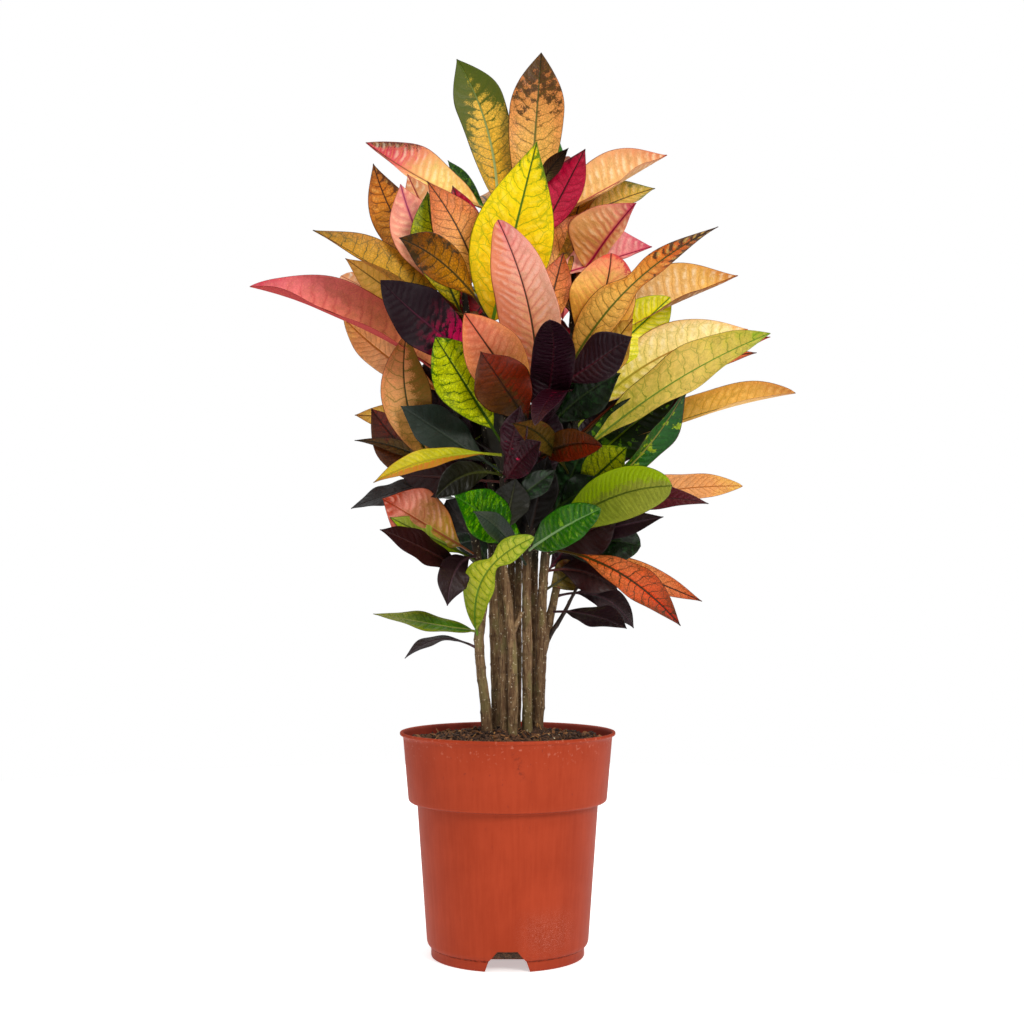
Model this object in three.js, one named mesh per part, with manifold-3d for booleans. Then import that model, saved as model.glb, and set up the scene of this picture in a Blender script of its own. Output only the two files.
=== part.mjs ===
// A croton (Codiaeum variegatum) in a plastic nursery pot.
// Millimetres, +Z up. The pot's axis is the Z axis while the plant is being built; at the end
// the whole plant is moved so that the origin is the middle of its own bounding box's floor.

import * as THREE from 'three';
import { mergeVertices } from 'three/addons/utils/BufferGeometryUtils.js';
import Module from 'manifold-3d';

// ---- driving dimensions ----

const POT_HEIGHT = 214.6;
const LIP_RADIUS = 105; // out-turned lip at the rim: the pot's size, 21 cm across
const BAND_TOP_RADIUS = 102; // stiffening band under the lip
const BAND_FOOT_RADIUS = 96.1;
const BAND_FOOT_Z = 149;
const BODY_TOP_RADIUS = 88;
const BODY_FOOT_RADIUS = 78.3;
const BODY_FOOT_Z = 15;
const FOOT_RADIUS = 74.1; // ring the pot stands on
const FOOT_HEIGHT = 9.3;
const FOOT_WALL = 2.6;
const WALL = 1.8;
const NOTCH_HEIGHT = 19.7; // drainage notches through the foot ring and the corner above it
const NOTCH_TOP_HALF_WIDTH = 9.3;
const NOTCH_KINK_HALF_WIDTH = 17.4;
const NOTCH_FOOT_HALF_WIDTH = 21.3;
const NOTCH_COUNT = 3;
const POT_SIDES = 48;

const SOIL_LEVEL = 206; // at the pot's wall
const SOIL_MOUND = 8; // how far it is heaped up around the canes

const GAP = 0.3; // clearance between pieces that touch
const CANE_SIDES = 8;
const CANE_STEPS = 18;

const PETIOLE_RADIUS = 1.6;
const BLADE_HALF_THICKNESS = 0.6;
const LEAF_SIDES = 8;
const LEAF_STEPS = 9;
const WIDEST = 0.6; // share of the blade, from its foot, at which it is widest
const FULLNESS = 0.9; // below 1 a blade's outline is rounder, above 1 more pointed

// Stems: a cane's axis, or a fork's, as points from low to high, and its radius at each end.
const STEMS = {
  left: {
    points: [
      [-19, -6, 150], [-20, -7, 215], [-22, -8, 243], [-26, -8, 275], [-28, -8, 303],
      [-26, -8, 322], [-24, -8, 345], [-29, -6, 381], [-38, -5, 440], [-47, -4, 500], [-54, 0, 560],
    ],
    radii: [5.4, 3],
  },
  rear: {
    points: [
      [-12, 6, 150], [-11, 6, 215], [-12, 8, 262], [-13, 10, 300], [-14, 14, 345],
      [-16, 20, 400], [-24, 28, 500], [-28, 35, 600], [-18, 40, 700], [-8, 40, 752],
    ],
    radii: [5, 3],
  },
  front: {
    points: [
      [-3, -20, 150], [-3, -20, 215], [-3.5, -18, 263], [-3.5, -16, 303], [-6, -12, 342],
      [-9, -9, 381], [-15, -5, 440], [-24, 0, 520], [-37, 5, 600], [-44, 8, 650],
    ],
    radii: [4.2, 3],
  },
  centre: {
    points: [
      [5, -26, 150], [5, -26, 215], [5, -27, 263], [4, -27, 303], [0, -26, 342],
      [-5, -26, 381], [-4, -26, 480], [-8, -24, 540], [-18, -22, 600], [-22, -20, 630],
    ],
    radii: [5, 3],
  },
  middle: {
    points: [
      [19, -2, 150], [19, -2, 220], [19, 0, 263], [19, 2, 303], [18.5, 4, 342], [19, 6, 381],
      [24, 8, 430], [28, 10, 470], [30, 12, 520], [28, 16, 600], [24, 24, 680], [20, 32, 750],
    ],
    radii: [5.2, 3],
  },
  middle_fork: {
    points: [[28, 10, 472], [28, 0, 500], [28, -10, 525], [28, -24, 560], [26, -32, 602]],
    radii: [3.6, 2.8],
  },
  right: {
    points: [
      [28, 12, 150], [29.5, 12, 218], [31.5, 12, 243], [33.5, 12, 303], [34, 12, 342],
      [37, 14, 381], [44, 18, 430], [55, 22, 480], [62, 26, 560], [66, 30, 640], [66, 30, 722],
    ],
    radii: [5.5, 3],
  },
  right_fork: {
    points: [
      [34, 13, 290], [39, 18, 312], [46, 23, 342], [54, 27, 384], [60, 22, 430],
      [65, 10, 480], [66, 0, 540], [62, -6, 605],
    ],
    radii: [4.4, 2.8],
  },
  right_twig: {
    points: [[38, 17, 300], [44, 16, 311], [50, 14, 320], [56, 12, 330], [66, 10, 350], [76, 10, 368]],
    radii: [3, 1.5],
  },
  centre_stub: {
    points: [[4, -27, 308], [8, -26.5, 318], [13.5, -26, 331]],
    radii: [2.8, 2.6],
  },
};

// Leaves, from the top of the plant down, those of its front first and then those of its back.
// Each row has the stem and the height at which the leaf grows from it, the tip's place, the
// leaf stalk's length, the blade's width, how far the midrib arches up and sways sideways
// (shares of the leaf's length), how far the blade is turned about its midrib and twisted along
// it (degrees), how far it is folded up along the midrib, and its colouring.
const LEAVES = [
  ['rear', 740, [-53, 55, 900], 20, 56, 0.03, 0, -62, 0, 0.3, 'ochre'],
  ['middle', 728, [34, 30, 898], 20, 56, 0, 0, 85, 0, 0.1, 'orange'],
  ['centre', 600, [30, -60, 779], 20, 85, 0, 0, 120, 0, 0.1, 'yellow'],
  ['middle', 690, [77, 0, 790], 20, 38, 0, 0, 75, 0, 0.1, 'crimson'],
  ['rear', 735, [-147, 60, 814], 20, 58, -0.03, 0, -38, 0, 0.6, 'peach'],
  ['front', 648, [-137, 35, 785], 20, 46, -0.12, 0, -80, 0, 0.1, 'orange'],
  ['front', 612, [-79, -12, 744], 20, 50, -0.06, 0, -105, 0, 0.1, 'lime'],
  ['centre', 628, [-79, -25, 751], 20, 56, 0.08, 0, -75, 0, 0.1, 'orange'],
  ['centre', 620, [-101, -90, 680], 20, 54, 0.18, 0, -50, 0, 0.1, 'bronze'],
  ['front', 600, [-192, -10, 706], 20, 56, 0.03, 0, -38, 0, 0.6, 'ochre'],
  ['left', 555, [-258, 15, 655], 20, 72, 0.045, 0, -30, 0, 0.6, 'salmon'],
  ['left', 440, [-98, -22, 634], 60, 48, -0.16, 0, -85, 0, 0.1, 'tan'],
  ['centre', 570, [-119, -80, 642], 20, 62, -0.05, 0, -65, 0, 0.15, 'black'],
  ['middle_fork', 540, [-8, -90, 692], 20, 52, 0, 0.07, 0, 0, 0.1, 'pink'],
  ['centre', 492, [-68, -70, 590], 20, 64, 0, 0, -80, 0, 0.1, 'lime'],
  ['middle', 702, [164, 70, 801], 20, 58, 0, 0, 30, 0, 0.6, 'peach'],
  ['middle', 672, [145, -15, 747], 20, 46, 0.1, 0, 30, 0, 0.6, 'peach'],
  ['right', 655, [125, -30, 728], 20, 62, 0.05, 0, 38, 0, 0.6, 'pink'],
  ['right_fork', 600, [100, -45, 678], 20, 72, -0.05, 0, 80, 0, 0.1, 'peach'],
  ['right_fork', 580, [202, -50, 700], 25, 38, 0.05, 0, 60, -20, 0.25, 'orange'],
  ['middle_fork', 540, [39, -140, 594], 20, 44, 0.1, 0.06, 0, 0, 0.1, 'black'],
  ['right', 590, [231, 20, 667], 20, 64, 0, 0, 30, 0, 0.6, 'peach'],
  ['right_fork', 550, [160, -35, 637], 20, 56, 0, 0, 80, 0, 0.1, 'lime'],
  ['right_fork', 510, [239, 10, 611], 25, 60, 0.12, 0, 70, 0, 0.1, 'cream'],
  ['right_fork', 480, [246, -80, 592], 25, 64, 0.05, 0, 44, 0, 0.35, 'yellow'],
  ['right_fork', 470, [284, 0, 546], 30, 36, 0.06, 0, 60, 0, 0.2, 'gold'],
  ['right', 400, [150, -110, 447], 20, 54, 0.15, 0, 80, 0, 0.1, 'olive'],
  ['right', 410, [191, -50, 434], 20, 34, 0.1, 0, 50, 0, 0.1, 'crimson'],
  ['right', 420, [231, 0, 454], 30, 38, 0.07, 0, 40, 0, 0.1, 'peach'],
  ['right_fork', 500, [107, -60, 557], 15, 70, 0, 0, 75, 0, 0.1, 'green'],
  ['centre', 465, [-103, -35, 529], 20, 52, 0, 0, -60, 0, 0.1, 'slate'],
  ['centre', 482, [-122, -110, 450], 20, 46, 0.1, 0, -10, 0, 0.5, 'yellow'],
  ['left', 470, [-152, -20, 431], 25, 44, 0.05, 0, -30, 0, 0.1, 'black'],
  ['left', 360, [-119, -75, 408], 20, 42, 0.02, 0, -60, 0, 0.1, 'maroon'],
  ['left', 303, [21, -80, 398], 36, 38, 0.17, 0, 85, 0, 0.1, 'lime'],
  ['left', 310, [-130, -20, 329], 20, 34, 0.1, 0, -10, 0, 0.1, 'olive'],
  ['left', 294, [-98, -40, 287], 20, 30, 0.2, 0, -10, 0, 0.1, 'maroon'],
  ['right_fork', 330, [112, -60, 316], 20, 34, 0.05, 0, 30, 0, 0.1, 'maroon'],
  ['middle', 392, [156, -120, 320], 55, 46, 0.09, 0, 50, 0, 0.3, 'red'],
  ['middle', 398, [-48, -115, 438], 20, 52, 0.05, 0, -80, 0, 0.1, 'green'],
  ['middle', 385, [92, -105, 423], 20, 40, 0.05, 0, 50, 0, 0.1, 'green'],
  ['rear', 725, [-45, 145, 760], 20, 58, 0.2, 0, -20, 0, 0.2, 'orange'],
  ['middle', 715, [40, 150, 745], 20, 60, 0.2, 0, 20, 0, 0.2, 'peach'],
  ['right', 690, [115, 130, 730], 20, 56, 0.15, 0, -30, 0, 0.2, 'yellow'],
  ['rear', 640, [-60, 165, 650], 20, 62, 0.2, 0, 10, 0, 0.2, 'lime'],
  ['right', 640, [60, 175, 650], 20, 60, 0.2, 0, -10, 0, 0.2, 'salmon'],
  ['left', 520, [-125, 105, 575], 20, 54, 0.1, 0, -30, 0, 0.2, 'bronze'],
  ['rear', 580, [-30, 170, 570], 20, 58, 0.2, 0, 15, 0, 0.2, 'black'],
  ['right', 560, [150, 120, 590], 20, 56, 0.1, 0, 30, 0, 0.2, 'crimson'],
  ['right', 500, [90, 165, 510], 20, 54, 0.2, 0, -20, 0, 0.2, 'maroon'],
  ['rear', 500, [-70, 160, 500], 20, 54, 0.2, 0, 20, 0, 0.2, 'green'],
  ['left', 430, [-110, 120, 440], 20, 48, 0.1, 0, 20, 0, 0.2, 'slate'],
];

// Colour of the pot, the soil, the bark and each kind of leaf.
const POT_COLOUR = 0xb24a30;
const SOIL_COLOUR = 0x3a2a20;
const BARK_COLOUR = 0x6e5f49;
const LEAF_COLOURS = {
  ochre: 0xbf9f3a,
  orange: 0xe08c46,
  yellow: 0xe0cc24,
  crimson: 0xa81c34,
  peach: 0xeaab70,
  pink: 0xe88c70,
  lime: 0xb8cc2c,
  bronze: 0x74481f,
  salmon: 0xdc6a5a,
  tan: 0xcb7d41,
  black: 0x2e161d,
  cream: 0xeacb6c,
  gold: 0xdaaa3c,
  green: 0x1f6e22,
  olive: 0x828c20,
  maroon: 0x501a22,
  slate: 0x3d4a40,
  red: 0xbc4b28,
};

const wasm = await Module();
wasm.setup();

// ---- shared shaping ----

// A blank with its seams closed and every vertex moved to where `place` puts it.
function shaped(blank, place) {
  blank.deleteAttribute('normal');
  blank.deleteAttribute('uv');
  const geometry = mergeVertices(blank, 1e-4);
  const position = geometry.attributes.position;
  for (let i = 0; i < position.count; i += 1) {
    const from = new THREE.Vector3().fromBufferAttribute(position, i);
    const to = place(from);
    position.setXYZ(i, to.x, to.y, to.z);
  }
  return geometry;
}

function solid(geometry) {
  return new wasm.Manifold(new wasm.Mesh({
    numProp: 3,
    vertProperties: geometry.attributes.position.array,
    triVerts: Uint32Array.from(geometry.index.array),
  }));
}

function geometryOf(body) {
  const mesh = body.getMesh();
  const geometry = new THREE.BufferGeometry();
  geometry.setAttribute('position', new THREE.BufferAttribute(mesh.vertProperties, 3));
  geometry.setIndex(new THREE.BufferAttribute(mesh.triVerts, 1));
  return geometry;
}

function piece(name, body, colour, roughness) {
  const geometry = geometryOf(body);
  geometry.computeVertexNormals();
  const material = new THREE.MeshStandardMaterial({ color: colour, roughness, metalness: 0 });
  const mesh = new THREE.Mesh(geometry, material);
  mesh.name = name;
  return mesh;
}

// A closed cylinder of radius 1 standing on z = 0 and reaching z = 1.
function cylinderBlank(sides, steps) {
  return new THREE.CylinderGeometry(1, 1, 1, sides, steps)
    .rotateX(Math.PI / 2)
    .translate(0, 0, 0.5);
}

function smoothstep(value) {
  const x = Math.min(Math.max(value, 0), 1);
  return x * x * (3 - 2 * x);
}

// ---- pot ----

function lathed(profile, sides) {
  const points = profile.map(([r, z]) => new THREE.Vector2(r, z));
  return new THREE.LatheGeometry(points, sides).rotateX(Math.PI / 2);
}

// Half of the pot's section, from the middle of the floor's underside round to its top side.
function potBody() {
  const inner = BODY_TOP_RADIUS - WALL;
  return solid(shaped(lathed([
    [0, FOOT_HEIGHT],
    [FOOT_RADIUS - FOOT_WALL, FOOT_HEIGHT],
    [FOOT_RADIUS - FOOT_WALL, 0],
    [FOOT_RADIUS, 0],
    [FOOT_RADIUS, FOOT_HEIGHT],
    [76.6, 10.8],
    [BODY_FOOT_RADIUS, BODY_FOOT_Z],
    [BODY_TOP_RADIUS, BAND_FOOT_Z - 3],
    [94.6, BAND_FOOT_Z - 1.4],
    [BAND_FOOT_RADIUS, BAND_FOOT_Z],
    [BAND_TOP_RADIUS, 209],
    [LIP_RADIUS, 211.6],
    [LIP_RADIUS, POT_HEIGHT - 0.6],
    [LIP_RADIUS - 0.8, POT_HEIGHT],
    [BAND_TOP_RADIUS + 0.4, POT_HEIGHT],
    [BAND_TOP_RADIUS - WALL, 211],
    [BAND_FOOT_RADIUS - WALL, BAND_FOOT_Z + 1.5],
    [inner + 0.3, BAND_FOOT_Z - 1.4],
    [BODY_FOOT_RADIUS - WALL, BODY_FOOT_Z + 1.4],
    [74, FOOT_HEIGHT + WALL],
    [0, FOOT_HEIGHT + WALL],
  ], POT_SIDES), (p) => p));
}

// One drainage notch: a straight cut outwards through the foot ring and the corner above it.
function notchCutter(index) {
  const outline = new THREE.Shape([
    new THREE.Vector2(-NOTCH_FOOT_HALF_WIDTH, -1),
    new THREE.Vector2(NOTCH_FOOT_HALF_WIDTH, -1),
    new THREE.Vector2(NOTCH_KINK_HALF_WIDTH, NOTCH_HEIGHT / 2),
    new THREE.Vector2(NOTCH_TOP_HALF_WIDTH, NOTCH_HEIGHT),
    new THREE.Vector2(-NOTCH_TOP_HALF_WIDTH, NOTCH_HEIGHT),
    new THREE.Vector2(-NOTCH_KINK_HALF_WIDTH, NOTCH_HEIGHT / 2),
  ]);
  const prism = new THREE.ExtrudeGeometry(outline, { depth: 50, bevelEnabled: false })
    .translate(0, 0, 62)
    .rotateX(Math.PI / 2)
    .rotateZ((index / NOTCH_COUNT) * 2 * Math.PI);
  return solid(shaped(prism, (p) => p));
}

function pot() {
  let body = potBody();
  for (let index = 0; index < NOTCH_COUNT; index += 1) {
    body = body.subtract(notchCutter(index));
  }
  return piece('pot', body, POT_COLOUR, 0.6);
}

// ---- canes ----

// The point of a stem's axis at height z: a smooth curve through its points.
function stemAt(points, z) {
  const last = points.length - 1;
  let i = 0;
  while (i < last - 1 && points[i + 1][2] < z) {
    i += 1;
  }
  const slope = (index, axis) => {
    const before = points[Math.max(index - 1, 0)];
    const after = points[Math.min(index + 1, last)];
    return (after[axis] - before[axis]) / (after[2] - before[2]);
  };
  const height = points[i + 1][2] - points[i][2];
  const t = (z - points[i][2]) / height;
  const along = (axis) => (2 * t ** 3 - 3 * t ** 2 + 1) * points[i][axis]
    + (t ** 3 - 2 * t ** 2 + t) * height * slope(i, axis)
    + (3 * t ** 2 - 2 * t ** 3) * points[i + 1][axis]
    + (t ** 3 - t ** 2) * height * slope(i + 1, axis);
  return new THREE.Vector3(along(0), along(1), z);
}

// A round stem following its axis, `extra` thicker all round than it grows.
function stemBody({ points, radii }, extra) {
  const low = points[0][2];
  const high = points[points.length - 1][2];
  return solid(shaped(cylinderBlank(CANE_SIDES, CANE_STEPS), (p) => {
    const z = low + (high - low) * p.z;
    const centre = stemAt(points, z);
    const along = stemAt(points, Math.min(z + 1, high))
      .sub(stemAt(points, Math.max(z - 1, low)))
      .normalize();
    const side = new THREE.Vector3(1, 0, 0);
    side.addScaledVector(along, -along.x).normalize();
    const other = new THREE.Vector3().crossVectors(along, side);
    const radius = radii[0] + (radii[1] - radii[0]) * p.z + extra;
    return centre.addScaledVector(side, radius * p.x).addScaledVector(other, radius * p.y);
  }));
}

// Each cane with whatever has grown out of it.
const CANES = {
  cane_left: ['left'],
  cane_rear: ['rear'],
  cane_front: ['front'],
  cane_centre: ['centre', 'centre_stub'],
  cane_middle: ['middle', 'middle_fork'],
  cane_right: ['right', 'right_fork', 'right_twig'],
};

function caneBody(name, extra) {
  return CANES[name]
    .map((stem) => stemBody(STEMS[stem], extra))
    .reduce((whole, part) => whole.add(part));
}

// ---- soil ----

function soil(caneClearances) {
  const inside = WALL + GAP;
  const top = (r) => SOIL_LEVEL + SOIL_MOUND * (1 - smoothstep((r - 20) / 70));
  const rings = [84, 68, 52, 36, 18, 0];
  const heap = shaped(lathed([
    [0, FOOT_HEIGHT + inside],
    [73.6, FOOT_HEIGHT + inside],
    [BODY_FOOT_RADIUS - inside, BODY_FOOT_Z + 1.6],
    [BODY_TOP_RADIUS - inside, BAND_FOOT_Z - 1],
    [BAND_FOOT_RADIUS - inside, BAND_FOOT_Z + 1.9],
    [BAND_TOP_RADIUS - inside - 0.5, SOIL_LEVEL],
    ...rings.map((r) => [r, top(r)]),
  ], POT_SIDES), (p) => {
    const radius = Math.hypot(p.x, p.y);
    const lumps = 1.6 * Math.sin(p.x / 9 + 1) * Math.cos(p.y / 11) + Math.sin(p.x / 5 - p.y / 7);
    return p.z < SOIL_LEVEL - 1 || radius > 90 ? p : p.setZ(p.z + lumps);
  });
  let body = solid(heap);
  for (const clearance of caneClearances) {
    body = body.subtract(clearance);
  }
  return piece('soil', body, SOIL_COLOUR, 1);
}

// ---- leaves ----

// Everything about a leaf's shape at share t of its length.
function leafSection(row, t) {
  const [stem, at, tip, stalk, width, arch, sway, turn, twist, fold] = row;
  const foot = stemAt(STEMS[stem].points, at);
  const chord = new THREE.Vector3(...tip).sub(foot);
  const length = chord.length();
  const out = new THREE.Vector3(chord.x, chord.y, 0).normalize();
  const level = new THREE.Vector3(-out.y, out.x, 0);
  const lift = out.clone().multiplyScalar(-chord.z);
  lift.z = Math.hypot(chord.x, chord.y);
  const bow = lift.multiplyScalar(arch / length).addScaledVector(level, sway);
  const middle = foot.clone()
    .addScaledVector(chord, t)
    .addScaledVector(bow, length * 4 * t * (1 - t));
  const along = chord.clone().addScaledVector(bow, length * 4 * (1 - 2 * t)).normalize();
  const side = level.clone().addScaledVector(along, -along.dot(level)).normalize();
  const angle = THREE.MathUtils.degToRad(turn + twist * (t - 0.5));
  side.applyAxisAngle(along, angle);
  const up = new THREE.Vector3().crossVectors(along, side);

  const stalkShare = stalk / length;
  const blade = Math.max((t - stalkShare) / (1 - stalkShare), 0);
  const share = blade < WIDEST ? blade / WIDEST : (1 - blade) / (1 - WIDEST);
  const outline = (width / 2) * Math.max(Math.sin((Math.PI / 2) * share), 0) ** FULLNESS;
  const rib = PETIOLE_RADIUS * (1 - 0.75 * blade);
  const flat = smoothstep(blade * 5);
  const halfWidth = Math.hypot(rib, outline);
  const halfThickness = rib * (1 - flat) + BLADE_HALF_THICKNESS * (1 - 0.4 * blade) * flat;
  return { middle, side, up, halfWidth, halfThickness, fold };
}

// A stalk swelling into a blade that is lens-shaped across, with a ring of vertices at the
// blade's foot and the rest spread evenly over the blade.
function leafBody(row) {
  const foot = stemAt(STEMS[row[0]].points, row[1]);
  const stalkShare = row[3] / foot.distanceTo(new THREE.Vector3(...row[2]));
  return solid(shaped(cylinderBlank(LEAF_SIDES, LEAF_STEPS), (p) => {
    const ring = p.z * LEAF_STEPS;
    const blade = (ring - 1) / (LEAF_STEPS - 1);
    const t = ring < 1 ? ring * stalkShare : stalkShare + (1 - stalkShare) * blade;
    const { middle, side, up, halfWidth, halfThickness, fold } = leafSection(row, t);
    const rise = halfThickness * p.y + fold * halfWidth * Math.abs(p.x) ** 1.5;
    return middle.addScaledVector(side, halfWidth * p.x).addScaledVector(up, rise);
  }));
}

function caneOf(stem) {
  return Object.keys(CANES).find((name) => CANES[name].includes(stem));
}

function leaf(row, index, clearances) {
  const body = leafBody(row).subtract(clearances[caneOf(row[0])]);
  const name = `leaf_${String(index + 1).padStart(2, '0')}`;
  return piece(name, body, LEAF_COLOURS[row[row.length - 1]], 0.45);
}

// ---- the whole plant ----

const plant = new THREE.Group();
plant.name = 'potted_croton';
const clearances = {};
for (const name of Object.keys(CANES)) {
  clearances[name] = caneBody(name, GAP);
}
plant.add(pot());
plant.add(soil(Object.values(clearances)));
for (const name of Object.keys(CANES)) {
  plant.add(piece(name, caneBody(name, 0), BARK_COLOUR, 0.9));
}
LEAVES.forEach((row, index) => {
  plant.add(leaf(row, index, clearances));
});

const middle = new THREE.Box3().setFromObject(plant).getCenter(new THREE.Vector3());
for (const mesh of plant.children) {
  mesh.geometry.translate(-middle.x, -middle.y, 0);
}

export default plant;
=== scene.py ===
import math

import bpy
import numpy as np
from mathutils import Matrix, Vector


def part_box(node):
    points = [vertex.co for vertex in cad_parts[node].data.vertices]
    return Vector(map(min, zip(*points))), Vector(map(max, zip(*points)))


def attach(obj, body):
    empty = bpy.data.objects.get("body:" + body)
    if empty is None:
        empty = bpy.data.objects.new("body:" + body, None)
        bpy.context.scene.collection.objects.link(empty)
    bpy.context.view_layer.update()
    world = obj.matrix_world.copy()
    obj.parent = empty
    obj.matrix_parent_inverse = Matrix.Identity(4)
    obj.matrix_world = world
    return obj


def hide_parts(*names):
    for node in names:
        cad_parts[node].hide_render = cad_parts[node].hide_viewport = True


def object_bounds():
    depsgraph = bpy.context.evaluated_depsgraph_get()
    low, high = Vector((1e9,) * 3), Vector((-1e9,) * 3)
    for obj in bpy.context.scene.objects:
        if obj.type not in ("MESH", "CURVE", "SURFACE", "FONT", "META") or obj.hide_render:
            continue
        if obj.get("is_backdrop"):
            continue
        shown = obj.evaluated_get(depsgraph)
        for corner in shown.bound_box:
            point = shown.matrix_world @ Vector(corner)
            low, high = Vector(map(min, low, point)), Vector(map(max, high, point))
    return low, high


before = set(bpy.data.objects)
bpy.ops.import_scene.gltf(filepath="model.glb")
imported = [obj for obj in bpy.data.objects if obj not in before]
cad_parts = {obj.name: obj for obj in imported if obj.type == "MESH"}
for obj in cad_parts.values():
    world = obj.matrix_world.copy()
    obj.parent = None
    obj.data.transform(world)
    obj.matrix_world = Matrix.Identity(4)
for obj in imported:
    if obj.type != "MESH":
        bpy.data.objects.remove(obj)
cad_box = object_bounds()

# ------------------------------------------------------------------------- camera, floor, light
# The plant stands on a white studio sweep under large soft lamps. The camera is level with the
# canes, a metre and a half in front of the pot's axis, and looks up by a few degrees.

pot_low, pot_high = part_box("pot")
POT_AXIS = (pot_low + pot_high) / 2
POT_AXIS.z = 0

camera = bpy.data.objects.new("camera", bpy.data.cameras.new("camera"))
camera.data.lens = 53.71
camera.data.sensor_width = 36
camera.data.clip_end = 40
camera.location = POT_AXIS + Vector((0.0042, -1.5, 0.3551))
camera.rotation_euler = (math.radians(92.8), 0, 0)
bpy.context.scene.collection.objects.link(camera)
bpy.context.scene.camera = camera
bpy.context.scene.view_settings.view_transform = "Standard"


def paint(code):
    """A colour's linear red, green and blue from its six hex digits: each channel c becomes
    c / 12.92 up to 0.04045, and ((c + 0.055) / 1.055) to the power 2.4 above it."""
    c = np.array([int(code[i:i + 2], 16) for i in (1, 3, 5)]) / 255
    return (*np.where(c <= 0.04045, c / 12.92, ((c + 0.055) / 1.055) ** 2.4).tolist(), 1.0)


class Shade:
    """A socket of a node tree. Sums, products and powers of it add Math nodes."""

    def __init__(self, tree, socket=None):
        self.tree = tree
        self.socket = socket

    def node(self, kind, values=(), out=0, stops=(), **settings):
        """Adds one node of a kind: its settings and a ramp's stops first, then its sockets' values
        or links. The answer is its output numbered `out`."""
        made = self.tree.nodes.new("ShaderNode" + kind)
        for key, value in settings.items():
            setattr(made, key, value)
        for index, (place, colour) in enumerate(stops):
            row = made.color_ramp.elements
            stop = row[index] if index < 2 else row.new(place)
            stop.position = place
            stop.color = paint(colour)
        for key, value in dict(values).items():
            if isinstance(value, Shade):
                self.tree.links.new(value.socket, made.inputs[key])
            else:
                made.inputs[key].default_value = value
        return Shade(self.tree, made.outputs[out] if len(made.outputs) else None)

    def parts(self):
        """This vector's three numbers."""
        made = self.node("SeparateXYZ", {0: self}).socket.node
        return [Shade(self.tree, socket) for socket in made.outputs]

    def maths(self, operation, *values):
        """One Math node."""
        return self.node("Math", enumerate(values), operation=operation)

    def __add__(self, other):
        return self.maths("ADD", self, other)

    def __radd__(self, other):
        return self.maths("ADD", other, self)

    def __sub__(self, other):
        return self.maths("SUBTRACT", self, other)

    def __rsub__(self, other):
        return self.maths("SUBTRACT", other, self)

    def __mul__(self, other):
        return self.maths("MULTIPLY", self, other)

    def __rmul__(self, other):
        return self.maths("MULTIPLY", other, self)

    def __truediv__(self, other):
        return self.maths("DIVIDE", self, other)

    def __pow__(self, other):
        return self.maths("POWER", self, other)

    def __abs__(self):
        return self.maths("ABSOLUTE", self)

    def higher(self, other):
        """The larger of the two values."""
        return self.maths("MAXIMUM", self, other)

    def share(self):
        """What is left after the decimal point."""
        return self.maths("FRACT", self)

    def rise(self, low, high, least=0.0, most=1.0):
        """`least` at low and `most` at high with an S-curve between, held beyond them; low may be
        above high."""
        values = {0: self, 1: low, 2: high, 3: least, 4: most}
        return self.node("MapRange", values, interpolation_type="SMOOTHSTEP")

    def blend(self, low, high):
        """The colour low where this is 0, and high where it is 1."""
        return self.node("Mix", {0: self, 6: low, 7: high}, out=2, data_type="RGBA")

    def painted(self, code, cover):
        """This colour, with paint of six hex digits over it as far as cover goes from 0 to 1."""
        return cover.blend(self, paint(code))

    def ramp(self, stops):
        """The colours of the stops, each a place from 0 to 1 and a colour, read at this value."""
        return self.node("ValToRGB", {0: self}, stops=stops)

    def noise(self, scale, detail=2.0, rough=0.5):
        """A cloudy value round 0.5; this is the vector that it is read at."""
        return self.node("TexNoise", {"Vector": self, "Scale": scale, "Detail": detail, "Roughness": rough})

    def cells(self, scale):
        """How far it is to the nearest edge in a net of cells."""
        return self.node("TexVoronoi", {"Vector": self, "Scale": scale}, feature="DISTANCE_TO_EDGE")

    def stretched(self, x, y, z):
        """This vector with its three numbers multiplied by x, y and z."""
        return self.node("VectorMath", {0: self, 1: (x, y, z)}, operation="MULTIPLY")

    def shifted(self, hue, saturation, value):
        """This colour with its hue turned by hue - 0.5, and its saturation and value scaled."""
        values = {"Hue": hue, "Saturation": saturation, "Value": value, "Color": self}
        return self.node("HueSaturation", values)


def new_finish(name):
    """A material with an empty node tree, and the first Shade to write in it."""
    finish = bpy.data.materials.new(name)
    finish.use_nodes = True
    finish.node_tree.nodes.clear()
    return finish, Shade(finish.node_tree)


WHITE = (1, 1, 1, 1)
FLOOR_RADIUS = 1.6
FLOOR_DROP = 0.0002
FLOOR_SIDES = 96
spoke = np.linspace(0, 2 * np.pi, FLOOR_SIDES, endpoint=False)
floor_x = FLOOR_RADIUS * np.cos(spoke)
floor_y = FLOOR_RADIUS * np.sin(spoke)
floor_edge = np.stack([floor_x, floor_y, np.full(FLOOR_SIDES, -FLOOR_DROP)], -1) + np.array(POT_AXIS)
floor_mesh = bpy.data.meshes.new("floor")
floor_mesh.from_pydata(floor_edge.tolist(), [], [list(range(FLOOR_SIDES))])
floor_paint, start = new_finish("floor")
shader = start.node("BsdfPrincipled", {
    "Base Color": (0.9, 0.9, 0.9, 1), "Roughness": 0.9, "Specular IOR Level": 0.1,
    "Emission Color": WHITE, "Emission Strength": 0.45,
})
start.node("OutputMaterial", {"Surface": shader})
floor_mesh.materials.append(floor_paint)
floor = bpy.data.objects.new("floor", floor_mesh)
bpy.context.scene.collection.objects.link(floor)
floor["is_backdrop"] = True

# The world is a soft dome: dim round its foot and brightest overhead. It is plain white where it
# is seen.
world = bpy.data.worlds.new("studio")
world.use_nodes = True
world.node_tree.nodes.clear()
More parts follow.
